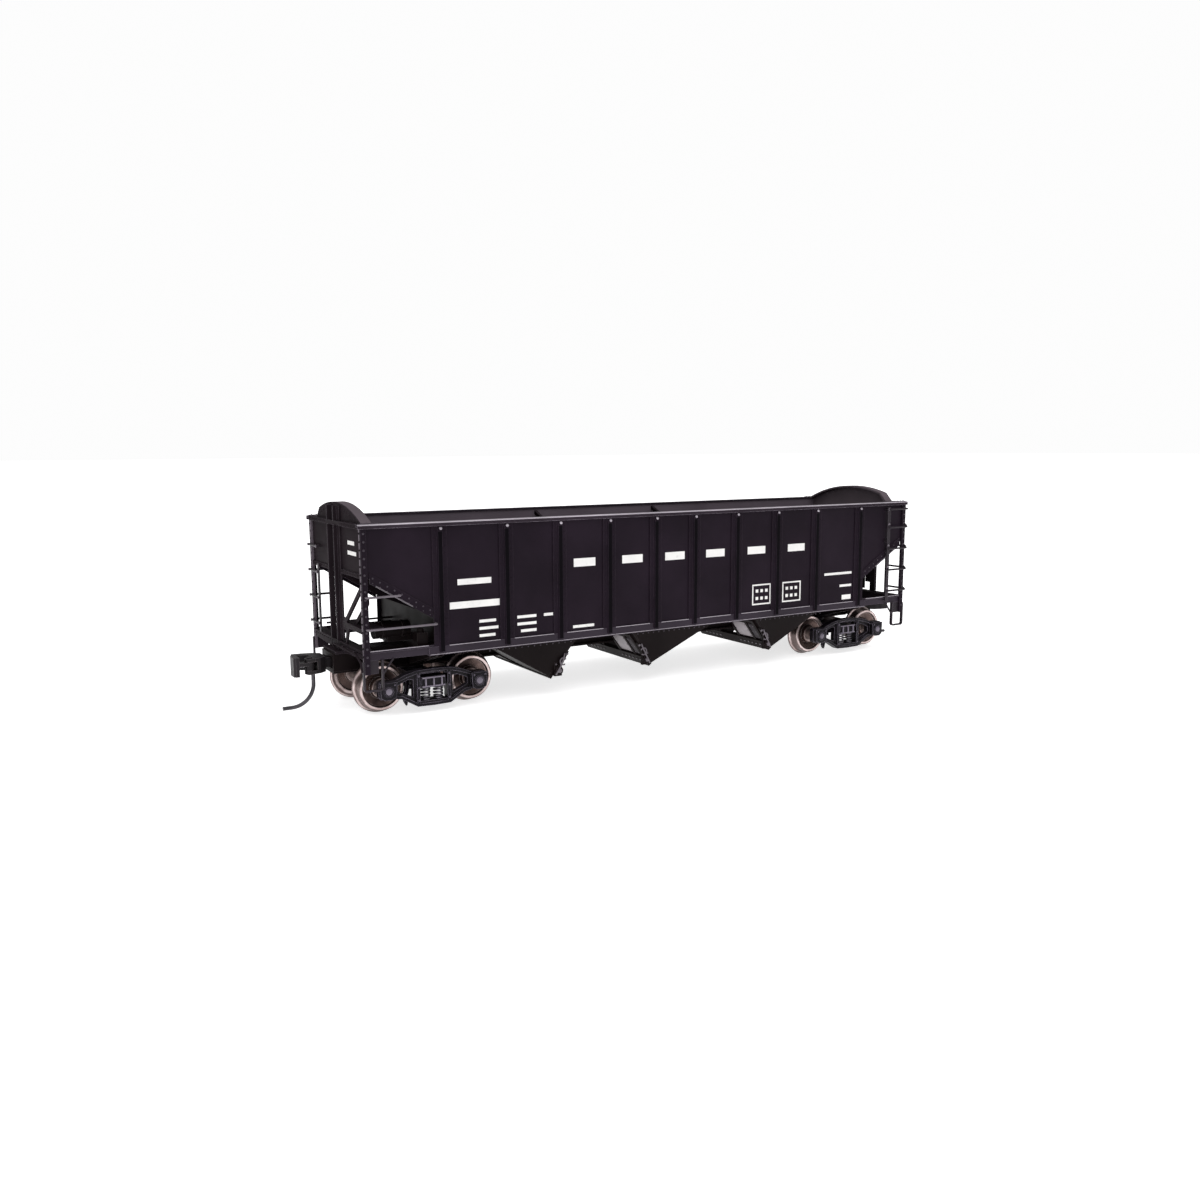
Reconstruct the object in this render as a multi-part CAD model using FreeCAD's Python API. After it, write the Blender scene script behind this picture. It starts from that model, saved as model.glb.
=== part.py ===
import FreeCAD
import Part
import math
import os

# Model railway hopper car, HO scale (1:87.1), millimetres.
# X runs along the car, Y across it, Z up. Z = 0 is at the bottom of the wheel flanges, and the
# origin lies under the middle of the car. End A is at -X, end B at +X. +Y is the left side.

V = FreeCAD.Vector

# ---------------------------------------------------------------- driving dimensions
TREAD_R = 4.81              # wheel tread radius, a 33 inch wheel
FLANGE_R = 5.45             # wheel flange radius
WHEEL_BACK = 7.2            # half of the back-to-back distance
WHEEL_WIDTH = 2.79
AXLE_R = 1.18
AXLE_TIP_Y = 13.1           # half length of the axle over its points
WHEELBASE = 19.8
TRUCK_X = 57.8              # truck centre from the car's middle
AXLE_Z = FLANGE_R

SIDE_Y = 16.9               # outer face of the side sheets
SHEET = 0.55                # thickness of side and end sheets
PLATE = 0.5                 # thickness of inner plates
CHORD_Y = 17.55             # half width over the top chords
CHORD_X = 73.9              # half length over the top chords
CHORD_Z = 39.35             # top of the chords
CHORD_T = 0.5
END_IN = 72.3               # inner face of the end sheets
END_OUT = 72.9              # outer face of the end sheets
POST_OUT = 74.0             # outer face of the centre end posts
SILL_Z = 12.65              # bottom edge of the side sheets
SILL_TOP = 14.25            # top of the side sill's face
SILL_Y = 17.15              # outer face of the side sill
END_SHEET_Z = 28.8          # bottom edge of the end sheets
SLOPE_TAN = 0.61            # fall of the end slope sheets
SLOPE_X = END_IN            # the slope line starts here ...
SLOPE_Z = 29.0              # ... at this height

POST_XS = (5.4, 17.65, 30.0, 42.6, 57.25)

SHIELD_R = 37.7             # radius of the arched heap shield
SHIELD_TOP = 43.0
SHIELD_CUT_Y = (10.9, 12.9)  # the cut-off corner beside the end ladder

CENTRE_SILL_Y = 2.6
PIVOT_X = 71.2              # coupler pivot from the car's middle

HOPPER_TIP_Z = 4.4
HOPPER_TOP_Y = 15.7         # half width of a bay at the side sill
HOPPER_TIP_Y = 13.9         # half width of a bay at its mouth

RUN = 0.05                  # running clearance
BOLSTER_TOP = 7.7           # top of the truck's centre plate


# ---------------------------------------------------------------- shape helpers
def box(x, y, z):
    """Block between two limits on each axis."""
    return Part.makeBox(x[1] - x[0], y[1] - y[0], z[1] - z[0], V(x[0], y[0], z[0]))


def outline(points, place):
    """Closed flat face through 2D points that place() puts in space."""
    corners = [place(a, b) for a, b in points]
    return Part.Face(Part.makePolygon(corners + corners[:1]))


def prism_xz(points, y):
    return outline(points, lambda a, b: V(a, y[0], b)).extrude(V(0, y[1] - y[0], 0))


def prism_yz(points, x):
    return outline(points, lambda a, b: V(x[0], a, b)).extrude(V(x[1] - x[0], 0, 0))


def prism_xy(points, z):
    return outline(points, lambda a, b: V(a, b, z[0])).extrude(V(0, 0, z[1] - z[0]))


def rod(start, end, radius):
    """Straight round bar."""
    a = V(*start)
    d = V(*end) - a
    return Part.makeCylinder(radius, d.Length, a, d)


def fuse(shapes):
    whole = shapes[0].copy()
    for shape in shapes[1:]:
        whole = whole.fuse(shape)
    return whole.removeSplitter()


def mirror_x(shape):
    return shape.mirror(V(0, 0, 0), V(1, 0, 0))


def mirror_y(shape):
    return shape.mirror(V(0, 0, 0), V(0, 1, 0))


def half_turn(shape):
    turned = shape.copy()
    turned.rotate(V(0, 0, 0), V(0, 0, 1), 180)
    return turned


def moved(shape, x=0.0, y=0.0, z=0.0):
    copy = shape.copy()
    copy.translate(V(x, y, z))
    return copy


def both_ends(shape):
    """The piece at end B and its mirror image at end A."""
    return [shape, mirror_x(shape)]


def both_sides(shape):
    return [shape, mirror_y(shape)]


def four_corners(shape):
    return [piece for end in both_ends(shape) for piece in both_sides(end)]


def opposite(shape):
    """The piece and its half-turned twin at the other end and side."""
    return [shape, half_turn(shape)]


def bent_path(points, bend):
    """Straight runs joined by tangent arcs of one radius."""
    corners = [V(*p) for p in points]
    edges = []
    start = corners[0]
    for before, corner, after in zip(corners, corners[1:], corners[2:]):
        come = (corner - before).normalize()
        go = (after - corner).normalize()
        turn = come.getAngle(go)
        reach = bend * math.tan(turn / 2)
        enter = corner - come * reach
        leave = corner + go * reach
        inward = (go - come).normalize()
        middle = corner + inward * (bend / math.cos(turn / 2) - bend)
        if (enter - start).Length > 1e-6:
            edges.append(Part.makeLine(start, enter))
        edges.append(Part.Arc(enter, middle, leave).toShape())
        start = leave
    edges.append(Part.makeLine(start, corners[-1]))
    return Part.Wire(edges), corners


def wire(points, radius, bend):
    """Round wire bent along a path."""
    path, corners = bent_path(points, bend)
    heading = corners[1] - corners[0]
    section = Part.Wire([Part.makeCircle(radius, corners[0], heading)])
    return path.makePipeShell([section], True, True)


def strap(points, width, thick, bend, across):
    """Flat strip bent along a path. across is the direction of its width."""
    path, corners = bent_path(points, bend)
    heading = (corners[1] - corners[0]).normalize()
    side = V(*across).normalize() * (width / 2)
    face = heading.cross(V(*across)).normalize() * (thick / 2)
    start = corners[0]
    ring = [start - side - face, start + side - face, start + side + face, start - side + face]
    section = Part.makePolygon(ring + ring[:1])
    return path.makePipeShell([section], True, True)


def slope_z(x):
    """Height of the end slope sheet's under face at a distance x from the middle."""
    return SLOPE_Z - (SLOPE_X - abs(x)) * SLOPE_TAN


def slope_x(z):
    return SLOPE_X - (SLOPE_Z - z) / SLOPE_TAN


def save(name, solids):
    shapes = [piece for solid in solids for piece in solid.Solids]
    body = shapes[0] if len(shapes) == 1 else Part.makeCompound(shapes)
    body.exportStep("parts/" + name + ".step")


# ---------------------------------------------------------------- body sides
BOLSTER_POST_X = POST_XS[-1]
CORNER_IN, CORNER_OUT = 72.3, 73.4    # corner posts, along the car
CORNER_Y = 17.4
CORNER_FOOT = 10.1
SIDE_FOOT_X = 57.9          # the side sheet stops here below the slope sheet
SLOPE_FLANGE = 0.22         # thickness of the flange along its sloping edge


def side_sheet():
    """Left side sheet with the flange along its sloping lower edges."""
    inner = SIDE_Y - SHEET
    top = CHORD_Z - CHORD_T
    points = [
        (-END_IN, top), (-END_IN, slope_z(END_IN)), (-SIDE_FOOT_X, slope_z(SIDE_FOOT_X)),
        (-SIDE_FOOT_X, SILL_Z), (SIDE_FOOT_X, SILL_Z), (SIDE_FOOT_X, slope_z(SIDE_FOOT_X)),
        (END_IN, slope_z(END_IN)), (END_IN, top),
    ]
    sheet = prism_xz(points, (inner, SIDE_Y))
    start, stop = SIDE_FOOT_X + 1.1, 71.8
    flange_points = [
        (start, slope_z(start) - 0.8), (stop, slope_z(stop) - 0.8),
        (stop, slope_z(stop) + 1.2), (start, slope_z(start) + 1.2),
    ]
    flange = prism_xz(flange_points, (SIDE_Y, SIDE_Y + SLOPE_FLANGE))
    return fuse([sheet] + both_ends(flange))


def side_post(x):
    """Hat-section post: flat flanges, raised ridge, sloping top."""
    wide = 1.6
    top = CHORD_Z - CHORD_T - 0.4
    flange = box((x - wide, x + wide), (SIDE_Y, SILL_Y), (SILL_TOP, top))
    ridge_points = [
        (x - 0.75, SIDE_Y), (x + 0.75, SIDE_Y), (x + 0.47, CHORD_Y), (x - 0.47, CHORD_Y),
    ]
    ridge = prism_xy(ridge_points, (13.1, top))
    bevel = prism_yz([(SILL_Y, top), (CHORD_Y + 0.1, top), (CHORD_Y + 0.1, top - 1.2)],
                     (x - 2, x + 2))
    sill = box((x - 2, x + 2), (SIDE_Y - 0.1, SILL_Y), (SILL_Z, SILL_TOP))
    return fuse([flange, ridge]).cut(bevel).cut(sill)


def side_posts():
    return [side_post(sign * x) for x in POST_XS for sign in (-1, 1)]


def top_chord():
    """Left top chord: flat top with a lip over the posts."""
    low = CHORD_Z - CHORD_T
    points = [
        (16.15, low), (17.2, low), (17.2, low - 0.4), (CHORD_Y, low - 0.4),
        (CHORD_Y, CHORD_Z - 0.15), (CHORD_Y - 0.15, CHORD_Z), (16.15, CHORD_Z),
    ]
    return prism_yz(points, (-CHORD_X, CHORD_X))


def side_sill():
    """Left side sill: face plate, inward foot, and the raised channel at each end."""
    step_x = 60.0
    face = box((-step_x, step_x), (SIDE_Y, SILL_Y), (SILL_Z, SILL_TOP))
    foot = box((-step_x, step_x), (HOPPER_TOP_Y, SIDE_Y + 0.1), (SILL_Z - 0.2, SILL_Z))
    inner = SIDE_Y - SHEET
    tail = box((SIDE_FOOT_X, END_OUT), (inner, SIDE_Y), (12.8, 14.6))
    lip = box((step_x, CORNER_IN), (SIDE_Y, SILL_Y), (14.2, 14.6))
    return fuse([face, foot] + both_ends(tail) + both_ends(lip))


def corner_post():
    """Corner post at end B, left: an angle round the corner, down past the sill."""
    top = CHORD_Z - CHORD_T - 0.4
    side_leg = box((CORNER_IN, CORNER_OUT), (SIDE_Y, CORNER_Y), (CORNER_FOOT, top))
    end_leg = box((END_OUT, CORNER_OUT), (16.2, SIDE_Y), (CORNER_FOOT, top))
    return fuse([side_leg, end_leg])


# ---------------------------------------------------------------- body ends
ARC_Z = SHIELD_TOP - SHIELD_R
SHIELD_FOOT_Y = 16.1
RIM_IN = 70.6               # the arch's flange runs from here to the end sheet's face
RIM_T = 0.45
END_CHORD_Z = (38.4, 39.3)  # band across the end at the height of the top chords


def arc_z(y, radius=SHIELD_R):
    return ARC_Z + math.sqrt(radius * radius - y * y)


def shield_face(radius, foot, low):
    """Flat face under the arch, from z = low, with the corner beside the ladder cut off."""
    cut_top, cut_foot = SHIELD_CUT_Y
    inset = SHIELD_R - radius
    left = cut_top - inset * 0.7
    edge_z = arc_z(left, radius)
    flat_z = CHORD_Z - inset
    run_out = cut_foot - inset * 1.4
    x = RIM_IN
    arc = Part.Arc(V(x, left, edge_z), V(x, (left - foot) / 2, arc_z((left - foot) / 2, radius)),
                   V(x, -foot, arc_z(foot, radius))).toShape()
    corners = [
        V(x, -foot, arc_z(foot, radius)), V(x, -foot, low), V(x, foot, low),
        V(x, foot, flat_z), V(x, run_out, flat_z), V(x, left, edge_z),
    ]
    edges = [Part.makeLine(a, b) for a, b in zip(corners, corners[1:])]
    return Part.Face(Part.Wire([arc] + edges))


def end_sheet():
    """End sheet at end A: plate, heap shield, flange round the arch, band and foot angle."""
    low = CHORD_Z - CHORD_T
    rim_depth = END_OUT - RIM_IN
    outer = shield_face(SHIELD_R, SHIELD_FOOT_Y, low).extrude(V(rim_depth, 0, 0))
    inner = shield_face(SHIELD_R - RIM_T, SHIELD_FOOT_Y + 1, low - 1).extrude(V(rim_depth, 0, 0))
    rim = outer.cut(inner)
    shield = outer.common(box((END_IN, END_OUT), (-20, 20), (low, 50)))
    plate = box((END_IN, END_OUT), (-SIDE_Y, SIDE_Y), (END_SHEET_Z, low))
    band = box((END_OUT, END_OUT + 0.7), (-16.1, 16.1), END_CHORD_Z)
    angle = box((END_OUT, END_OUT + 0.35), (-16.2, 16.2), (END_SHEET_Z, END_SHEET_Z + 0.8))
    for y in (-1, 1):
        for piece in end_post(y):
            angle = angle.cut(piece)
    return mirror_x(fuse([plate, shield, rim, band, angle]))


END_POST_IN, END_POST_EDGE, END_POST_Y = 1.85, 2.35, 3.9
END_POST_FOOT = 12.8


def end_post(side):
    """Angle-section centre post at end B in two lengths, below and above the end band."""
    top = arc_z(END_POST_Y, SHIELD_R - RIM_T)
    leg = box((END_OUT, POST_OUT), (END_POST_IN, END_POST_EDGE), (END_POST_FOOT, top))
    foot_leg = box((END_OUT, END_OUT + 0.35), (END_POST_EDGE, END_POST_Y), (15.0, top))
    post = fuse([leg, foot_leg])
    if side < 0:
        post = mirror_y(post)
    sill = box((70, 73.9), (-5, 5), (12.6, 14.6))
    low_z, high_z = END_CHORD_Z
    below = post.common(box((70, 76), (-5, 5), (0, low_z))).cut(sill)
    above = post.common(box((70, 76), (-5, 5), (high_z, 50)))
    return below, above


def end_posts():
    return [piece for side in (-1, 1) for length in end_post(side) for piece in both_ends(length)]


def end_sill():
    """End sill at end B: a beam between the corner posts, deeper over the coupler."""
    wide = 16.2
    points = [
        (-wide, 14.6), (wide, 14.6), (wide, 13.0), (6.5, 12.6), (4.4, 12.3),
        (-4.4, 12.3), (-6.5, 12.6), (-wide, 13.0),
    ]
    beam = prism_yz(points, (END_OUT - 0.6, 73.3))
    top_flange = box((71.4, 73.6), (-wide, wide), (14.3, 14.6))
    striker = box((73.3, 75.2), (-4.4, 4.4), (12.3, 12.8))
    return fuse([beam, top_flange, striker])


def end_platform():
    """Shelf over the end sill at end B, left half, with its front flange and hanger."""
    shelf = box((69.0, 73.4), (4.4, 16.2), (18.6, 19.0))
    front = box((73.0, 73.4), (4.4, 16.2), (18.0, 18.6))
    bracket_points = [(3.9, 19.8), (5.2, 19.8), (7.6, 18.6), (7.6, 18.0), (6.0, 14.6), (5.2, 14.6),
                      (6.0, 17.4), (3.9, 17.4)]
    bracket = prism_yz(bracket_points, (72.9, 73.3))
    return fuse([shelf, front, bracket])


def end_brace(outer, inner, x):
    """Flat diagonal bar between two (y, z) places."""
    run = V(0, inner[0] - outer[0], inner[1] - outer[1]).normalize()
    side = V(0, -run.z, run.y) * 0.45
    a = V(x, outer[0], outer[1])
    b = V(x, inner[0], inner[1])
    ring = [a - side, b - side, b + side, a + side]
    return Part.Face(Part.makePolygon(ring + ring[:1])).extrude(V(0.45, 0, 0))


def end_braces():
    """The two diagonal bars of end B, left, from the corner post down to the platform."""
    front = end_brace((16.2, 27.0), (5.1, 18.7), 72.9)
    rear = end_brace((17.2, 24.6), (8.6, 18.7), 71.9)
    shelf = box((60, 76), (0, 17), (10, 19.0))
    side = box((60, 76), (SIDE_Y, 20), (10, 30))
    front = front.cut(shelf).cut(corner_post()).cut(end_platform())
    return [front, rear.cut(shelf).cut(side)]


def slope_sheet():
    """Slope sheet at end B, from the end sheet down to the top of the end bay."""
    inner = SIDE_Y - SHEET
    thick = PLATE / math.cos(math.atan(SLOPE_TAN))
    low_x = slope_x(SILL_Z)
    points = [
        (END_IN, slope_z(END_IN)), (END_IN, slope_z(END_IN) + thick),
        (slope_x(SILL_Z - thick), SILL_Z), (low_x, SILL_Z),
    ]
    return prism_xz(points, (-inner, inner))


# ---------------------------------------------------------------- hopper bays
def wedge(tip_x, gentle_x, door_x, top_z, tip_z, y_in, y_top, y_tip):
    """Solid wedge of a hopper bay half: level top, pointed foot, leaning outer side."""
    top = [V(gentle_x, y_in, top_z), V(gentle_x, y_top, top_z),
           V(door_x, y_top, top_z), V(door_x, y_in, top_z)]
    foot = [V(tip_x, y_in, tip_z), V(tip_x, y_tip, tip_z)]
    rings = [
        top,
        [top[0], top[1], foot[1], foot[0]],
        [top[3], top[2], foot[1], foot[0]],
        [top[0], top[3], foot[0]],
        [top[1], top[2], foot[1]],
    ]
    faces = [Part.Face(Part.makePolygon(ring + ring[:1])) for ring in rings]
    solid = Part.Solid(Part.makeShell(faces))
    if solid.Volume < 0:
        solid.reverse()
    return solid


CHUTE_IN = CENTRE_SILL_Y + 0.9


def chute_half(tip_x, gentle_x, door_x):
    """Left half of one bay's chute: gentle floor, outer and inner walls, open at the door."""
    way = 1 if door_x > tip_x else -1
    outer = wedge(tip_x, gentle_x, door_x, SILL_Z, HOPPER_TIP_Z,
                  CHUTE_IN, HOPPER_TOP_Y, HOPPER_TIP_Y)
    rise = (SILL_Z - HOPPER_TIP_Z) / abs(tip_x - gentle_x)
    lift = PLATE * math.sqrt(1 + rise * rise)
    shift = way * lift / rise
    hollow = wedge(tip_x + shift, gentle_x, door_x + 2 * way, SILL_Z + lift, HOPPER_TIP_Z,
                   CHUTE_IN + 0.4, HOPPER_TOP_Y - 0.35, HOPPER_TIP_Y - 0.4)
    return outer.cut(hollow)


BAYS = (
    # mouth tip, top of the gentle floor, top of the door
    ("a", -31.4, -slope_x(SILL_Z), -25.3),
    ("centre", -4.4, 12.2, -10.4),
    ("b", 31.4, slope_x(SILL_Z), 25.3),
)


BEAM_REACH = 2.4            # height of the beam along the door's slope


def door_slab(tip_x, door_x, s, y, depth):
    """Block lying on the door's plane: s runs up the door from its foot."""
    way = 1 if door_x > tip_x else -1
    run = V(door_x - tip_x, 0, SILL_Z - HOPPER_TIP_Z).normalize()
    out = V(way * run.z, 0, -way * run.x)
    tip = V(tip_x, 0, HOPPER_TIP_Z) + run * 0.15
    a = tip + run * s[0]
    b = tip + run * s[1]
    ring = [V(p.x, y[0], p.z) for p in (a, b, b + out * depth, a + out * depth)]
    return Part.Face(Part.makePolygon(ring + ring[:1])).extrude(V(0, y[1] - y[0], 0))


def door(tip_x, door_x):
    """One hopper door, left of the centre sill: plate with a top rail and cross bars."""
    slant = math.hypot(door_x - tip_x, SILL_Z - HOPPER_TIP_Z)
    length = slant - 0.15 - 0.75 * slant / (SILL_Z - HOPPER_TIP_Z)
    y0, y1 = CHUTE_IN, HOPPER_TIP_Y
    pieces = [
        door_slab(tip_x, door_x, (BEAM_REACH, length), (y0, y1), 0.4),
        door_slab(tip_x, door_x, (length - 0.7, length), (y0, y1), 0.8),
    ]
    for left, right in ((y0, y0 + 0.8), (9.9, 10.7), (y1 - 0.8, y1)):
        pieces.append(door_slab(tip_x, door_x, (BEAM_REACH, length), (left, right), 0.75))
    return fuse(pieces)


def door_beam(tip_x, door_x):
    """Beam along the foot of a bay's two doors, under the centre sill."""
    return door_slab(tip_x, door_x, (-0.35, BEAM_REACH), (-HOPPER_TIP_Y, HOPPER_TIP_Y), 0.95)


def door_lock(tip_x, gentle_x, door_x):
    """Lock at the outer end of a door's foot: lug, cam lever and hook."""
    way = 1 if door_x > tip_x else -1
    x = tip_x + way * 2.1
    lug = box((x - 0.9, x + 0.9), (HOPPER_TIP_Y + 0.05, HOPPER_TIP_Y + 0.7), (4.3, 7.4))
    cam = rod((x, HOPPER_TIP_Y + 0.7, 5.6), (x, HOPPER_TIP_Y + 1.3, 5.6), 0.9)
    hook_points = [
        (x - 0.35, 6.0), (x + 0.35, 6.0), (x + way * 2.2 + 0.3, 9.6), (x + way * 2.2 - 0.4, 9.6),
    ]
    hook = prism_xz(hook_points, (HOPPER_TIP_Y + 0.7, HOPPER_TIP_Y + 1.1))
    chute = wedge(tip_x, gentle_x, door_x, SILL_Z, HOPPER_TIP_Z,
                  CHUTE_IN, HOPPER_TOP_Y, HOPPER_TIP_Y)
    return fuse([lug, cam, hook]).cut(chute)


RIDGES = (
    # left foot, crest, crest height, right foot
    (-25.3, -17.85, 19.4, -10.4),
    (12.2, 19.5, 16.6, 25.3),
)


def ridge_sheet(left_x, crest_x, crest_z, right_x):
    """Folded ridge between two bays, across the whole width."""
    inner = SIDE_Y - SHEET
    drop = 0.62
    points = [
        (left_x, SILL_Z), (crest_x, crest_z), (right_x, SILL_Z),
        (right_x - 0.62, SILL_Z), (crest_x, crest_z - drop - 0.1), (left_x + 0.62, SILL_Z),
    ]
    return prism_xz(points, (-inner, inner))


def ridge_block(left_x, crest_x, crest_z, right_x):
    points = [(left_x, SILL_Z), (crest_x, crest_z), (right_x, SILL_Z)]
    return prism_xz(points, (-20, 20))


def centre_hood():
    """Small roof over the centre sill inside the bays, between ridges and slope sheets."""
    half, height = CHUTE_IN, 2.3
    points = [(-half, SILL_Z), (0, SILL_Z + height), (half, SILL_Z), (half - 0.6, SILL_Z),
              (0, SILL_Z + height - 0.55), (-half + 0.6, SILL_Z)]
    hood = prism_yz(points, (-50, 50))
    for ridge in RIDGES:
        hood = hood.cut(ridge_block(*ridge))
    thick = PLATE / math.cos(math.atan(SLOPE_TAN))
    slope_points = [
        (slope_x(SILL_Z - thick), SILL_Z), (60, slope_z(60) + thick), (60, SILL_Z),
    ]
    for block in both_ends(prism_xz(slope_points, (-20, 20))):
        hood = hood.cut(block)
    return hood


# ---------------------------------------------------------------- underframe
def centre_sill():
    """Centre sill: an open-bottomed box with foot flanges, between the coupler boxes."""
    length = 66.9
    points = [
        (-3.4, 8.0), (-2.0, 8.0), (-2.0, 12.05), (2.0, 12.05), (2.0, 8.0), (3.4, 8.0),
        (3.4, 8.4), (2.6, 8.4), (2.6, SILL_Z), (-2.6, SILL_Z), (-2.6, 8.4), (-3.4, 8.4),
    ]
    return prism_yz(points, (-length, length))


SCREW_R = 0.85


def body_bolster():
    """Body bolster at end B: tapering arms, upright web, and the centre plate in the sill."""
    arm_points = [
        (CENTRE_SILL_Y, 8.4), (3.4, 8.4), (SIDE_Y - SHEET, 12.1), (SIDE_Y - SHEET, 14.5),
        (CENTRE_SILL_Y, 14.5),
    ]
    inner = SIDE_Y - SHEET
    arm = prism_yz(arm_points, (TRUCK_X - 1.5, TRUCK_X + 1.5))
    arm = arm.cut(box((TRUCK_X - 1.2, TRUCK_X - 0.3), (CENTRE_SILL_Y + 0.8, inner), (0, 14.1)))
    arm = arm.cut(box((TRUCK_X + 0.3, TRUCK_X + 1.2), (CENTRE_SILL_Y + 0.8, inner), (0, 14.1)))
    foot = box((TRUCK_X - 2, TRUCK_X + 2), (HOPPER_TOP_Y, SILL_Y + 1), (0, SILL_Z))
    arm = arm.cut(foot)
    bridge = box((TRUCK_X - 1.5, TRUCK_X + 1.5), (-CENTRE_SILL_Y, CENTRE_SILL_Y), (SILL_Z, 14.5))
    web_points = [
        (TRUCK_X - 0.3, 14.5), (TRUCK_X + 0.3, 14.5),
        (TRUCK_X + 0.3, slope_z(TRUCK_X + 0.3)), (TRUCK_X - 0.3, slope_z(TRUCK_X - 0.3)),
    ]
    web = prism_xz(web_points, (-inner, inner))
    frame = fuse(both_sides(arm) + [bridge, web])
    plug = box((TRUCK_X - 3, TRUCK_X + 3), (-2.0, 2.0), (8.0, 12.05))
    plate = Part.makeCylinder(2.9, 8.0 - BOLSTER_TOP - RUN, V(TRUCK_X, 0, BOLSTER_TOP + RUN))
    hole = Part.makeCylinder(SCREW_R, 4.0, V(TRUCK_X, 0, 7))
    centre = fuse([plug, plate]).cut(hole)
    return [frame, centre]


def truck_screw():
    """Screw that holds the truck: shank up into the centre plate, slotted head below."""
    shank = Part.makeCylinder(SCREW_R, 11.0 - 4.1, V(TRUCK_X, 0, 4.1))
    head = Part.makeCylinder(1.8, 0.9, V(TRUCK_X, 0, 3.2))
    slot = box((TRUCK_X - 2, TRUCK_X + 2), (-0.2, 0.2), (3.1, 3.6))
    return fuse([shank, head]).cut(slot)


# ---------------------------------------------------------------- couplers
BOX_IN, BOX_OUT = 66.9, 75.6
BOX_Z = (8.6, 12.3)
POCKET_Z = (9.15, 11.25)
PIVOT_POST_R = 1.25


def coupler_box():
    """Coupler box at end B: open at the mouth and below, with the pivot post."""
    shell = box((BOX_IN, BOX_OUT), (-3.8, 3.8), (BOX_Z[0], BOX_Z[1]))
    pocket = box((BOX_IN + 0.8, BOX_OUT + 1), (-3.0, 3.0), (BOX_Z[0] - 1, POCKET_Z[1]))
    post = Part.makeCylinder(PIVOT_POST_R, POCKET_Z[1] - BOX_Z[0] + 0.2, V(PIVOT_X, 0, BOX_Z[0]))
    hole = Part.makeCylinder(0.6, 3.0, V(PIVOT_X, 0, BOX_Z[0] - 0.1))
    return fuse([shell.cut(pocket), post]).cut(hole)


def coupler_lid():
    """Lid that closes the coupler box from below."""
    plate = box((BOX_IN, BOX_OUT), (-3.8, 3.8), (8.2, BOX_Z[0]))
    floor = box((BOX_IN + 0.9, BOX_OUT), (-2.9, 2.9), (BOX_Z[0], POCKET_Z[0]))
    post = Part.makeCylinder(PIVOT_POST_R + 0.02, 2.0, V(PIVOT_X, 0, BOX_Z[0]))
    hole = Part.makeCylinder(0.6, 3.0, V(PIVOT_X, 0, 7))
    return fuse([plate, floor]).cut(post).cut(hole)


def coupler_screw():
    """Screw through the lid into the pivot post."""
    shank = Part.makeCylinder(0.6, 3.3, V(PIVOT_X, 0, 8.2))
    head = Part.makeCylinder(1.15, 0.55, V(PIVOT_X, 0, 7.65))
    slot = box((PIVOT_X - 2, PIVOT_X + 2), (-0.15, 0.15), (7.5, 7.9))
    return fuse([shank, head]).cut(slot)


def centring_spring():
    """Leaf spring round the back of the coupler pocket."""
    x = BOX_IN + 0.8
    back = box((x, x + 0.12), (-2.75, 2.75), (9.4, 11.0))
    leg = box((x, 74.6), (2.63, 2.75), (9.4, 11.0))
    return fuse([back] + both_sides(leg))


KNUCKLE_X = 80.0
KNUCKLE_Y = 2.3
EAR_Z = (9.2, 11.0)         # gap between the head's ears
HEAD_Z = (8.5, 11.7)


def coupler_head():
    """Coupler at end B: eye, shank, head with guard arm, and two ears for the knuckle."""
    shank_z = (9.2, 11.2)
    eye = Part.makeCylinder(2.3, 2.0, V(PIVOT_X, 0, shank_z[0]))
    shank = box((PIVOT_X, 77.2), (-1.3, 1.3), shank_z)
    head_points = [
        (76.6, -2.1), (76.6, 1.9), (78.0, 3.1), (79.4, 3.3), (79.4, 1.3), (79.0, 0.2),
        (79.3, -1.0), (80.8, -2.0), (82.4, -3.0), (82.1, -3.9), (80.0, -3.7), (78.2, -3.1),
    ]
    head = prism_xy(head_points, HEAD_Z)
    ear = Part.makeCylinder(1.0, HEAD_Z[1] - HEAD_Z[0], V(KNUCKLE_X, KNUCKLE_Y, HEAD_Z[0]))
    neck = box((79.0, KNUCKLE_X), (KNUCKLE_Y - 1.0, KNUCKLE_Y + 1.0), HEAD_Z)
    gap = box((78.6, 82), (0.9, 4), EAR_Z)
    whole = fuse([eye, shank, head, ear, neck]).cut(gap)
    post_hole = Part.makeCylinder(PIVOT_POST_R + RUN, 4.0, V(PIVOT_X, 0, 8.5))
    pin_hole = Part.makeCylinder(0.35, 6.0, V(KNUCKLE_X, KNUCKLE_Y, 7))
    wire_hole = Part.makeCylinder(TRIP_R, 1.2, V(TRIP_X, 0, HEAD_Z[0] - 0.1))
    return whole.cut(post_hole).cut(pin_hole).cut(wire_hole)


def knuckle():
    """Knuckle at end B: eye between the ears, thin arm, and the tall nose across the front."""
    z = (EAR_Z[0] + RUN, EAR_Z[1] - RUN)
    eye = Part.makeCylinder(0.95, z[1] - z[0], V(KNUCKLE_X, KNUCKLE_Y, z[0]))
    arm = prism_xy([(KNUCKLE_X, 1.4), (82.5, 1.5), (82.5, 2.9), (KNUCKLE_X, 3.25)],
                   (z[1] - 0.75, z[1]))
    nose_points = [
        (82.2, 3.0), (82.9, 3.0), (83.3, 2.5), (83.3, 0.1), (82.9, -0.6), (82.3, -0.8),
        (82.1, -0.2),
    ]
    nose = prism_xy(nose_points, (8.1, 12.1))
    pin_hole = Part.makeCylinder(0.35 + RUN, 6.0, V(KNUCKLE_X, KNUCKLE_Y, 7))
    return fuse([eye, arm, nose]).cut(pin_hole)


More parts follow.
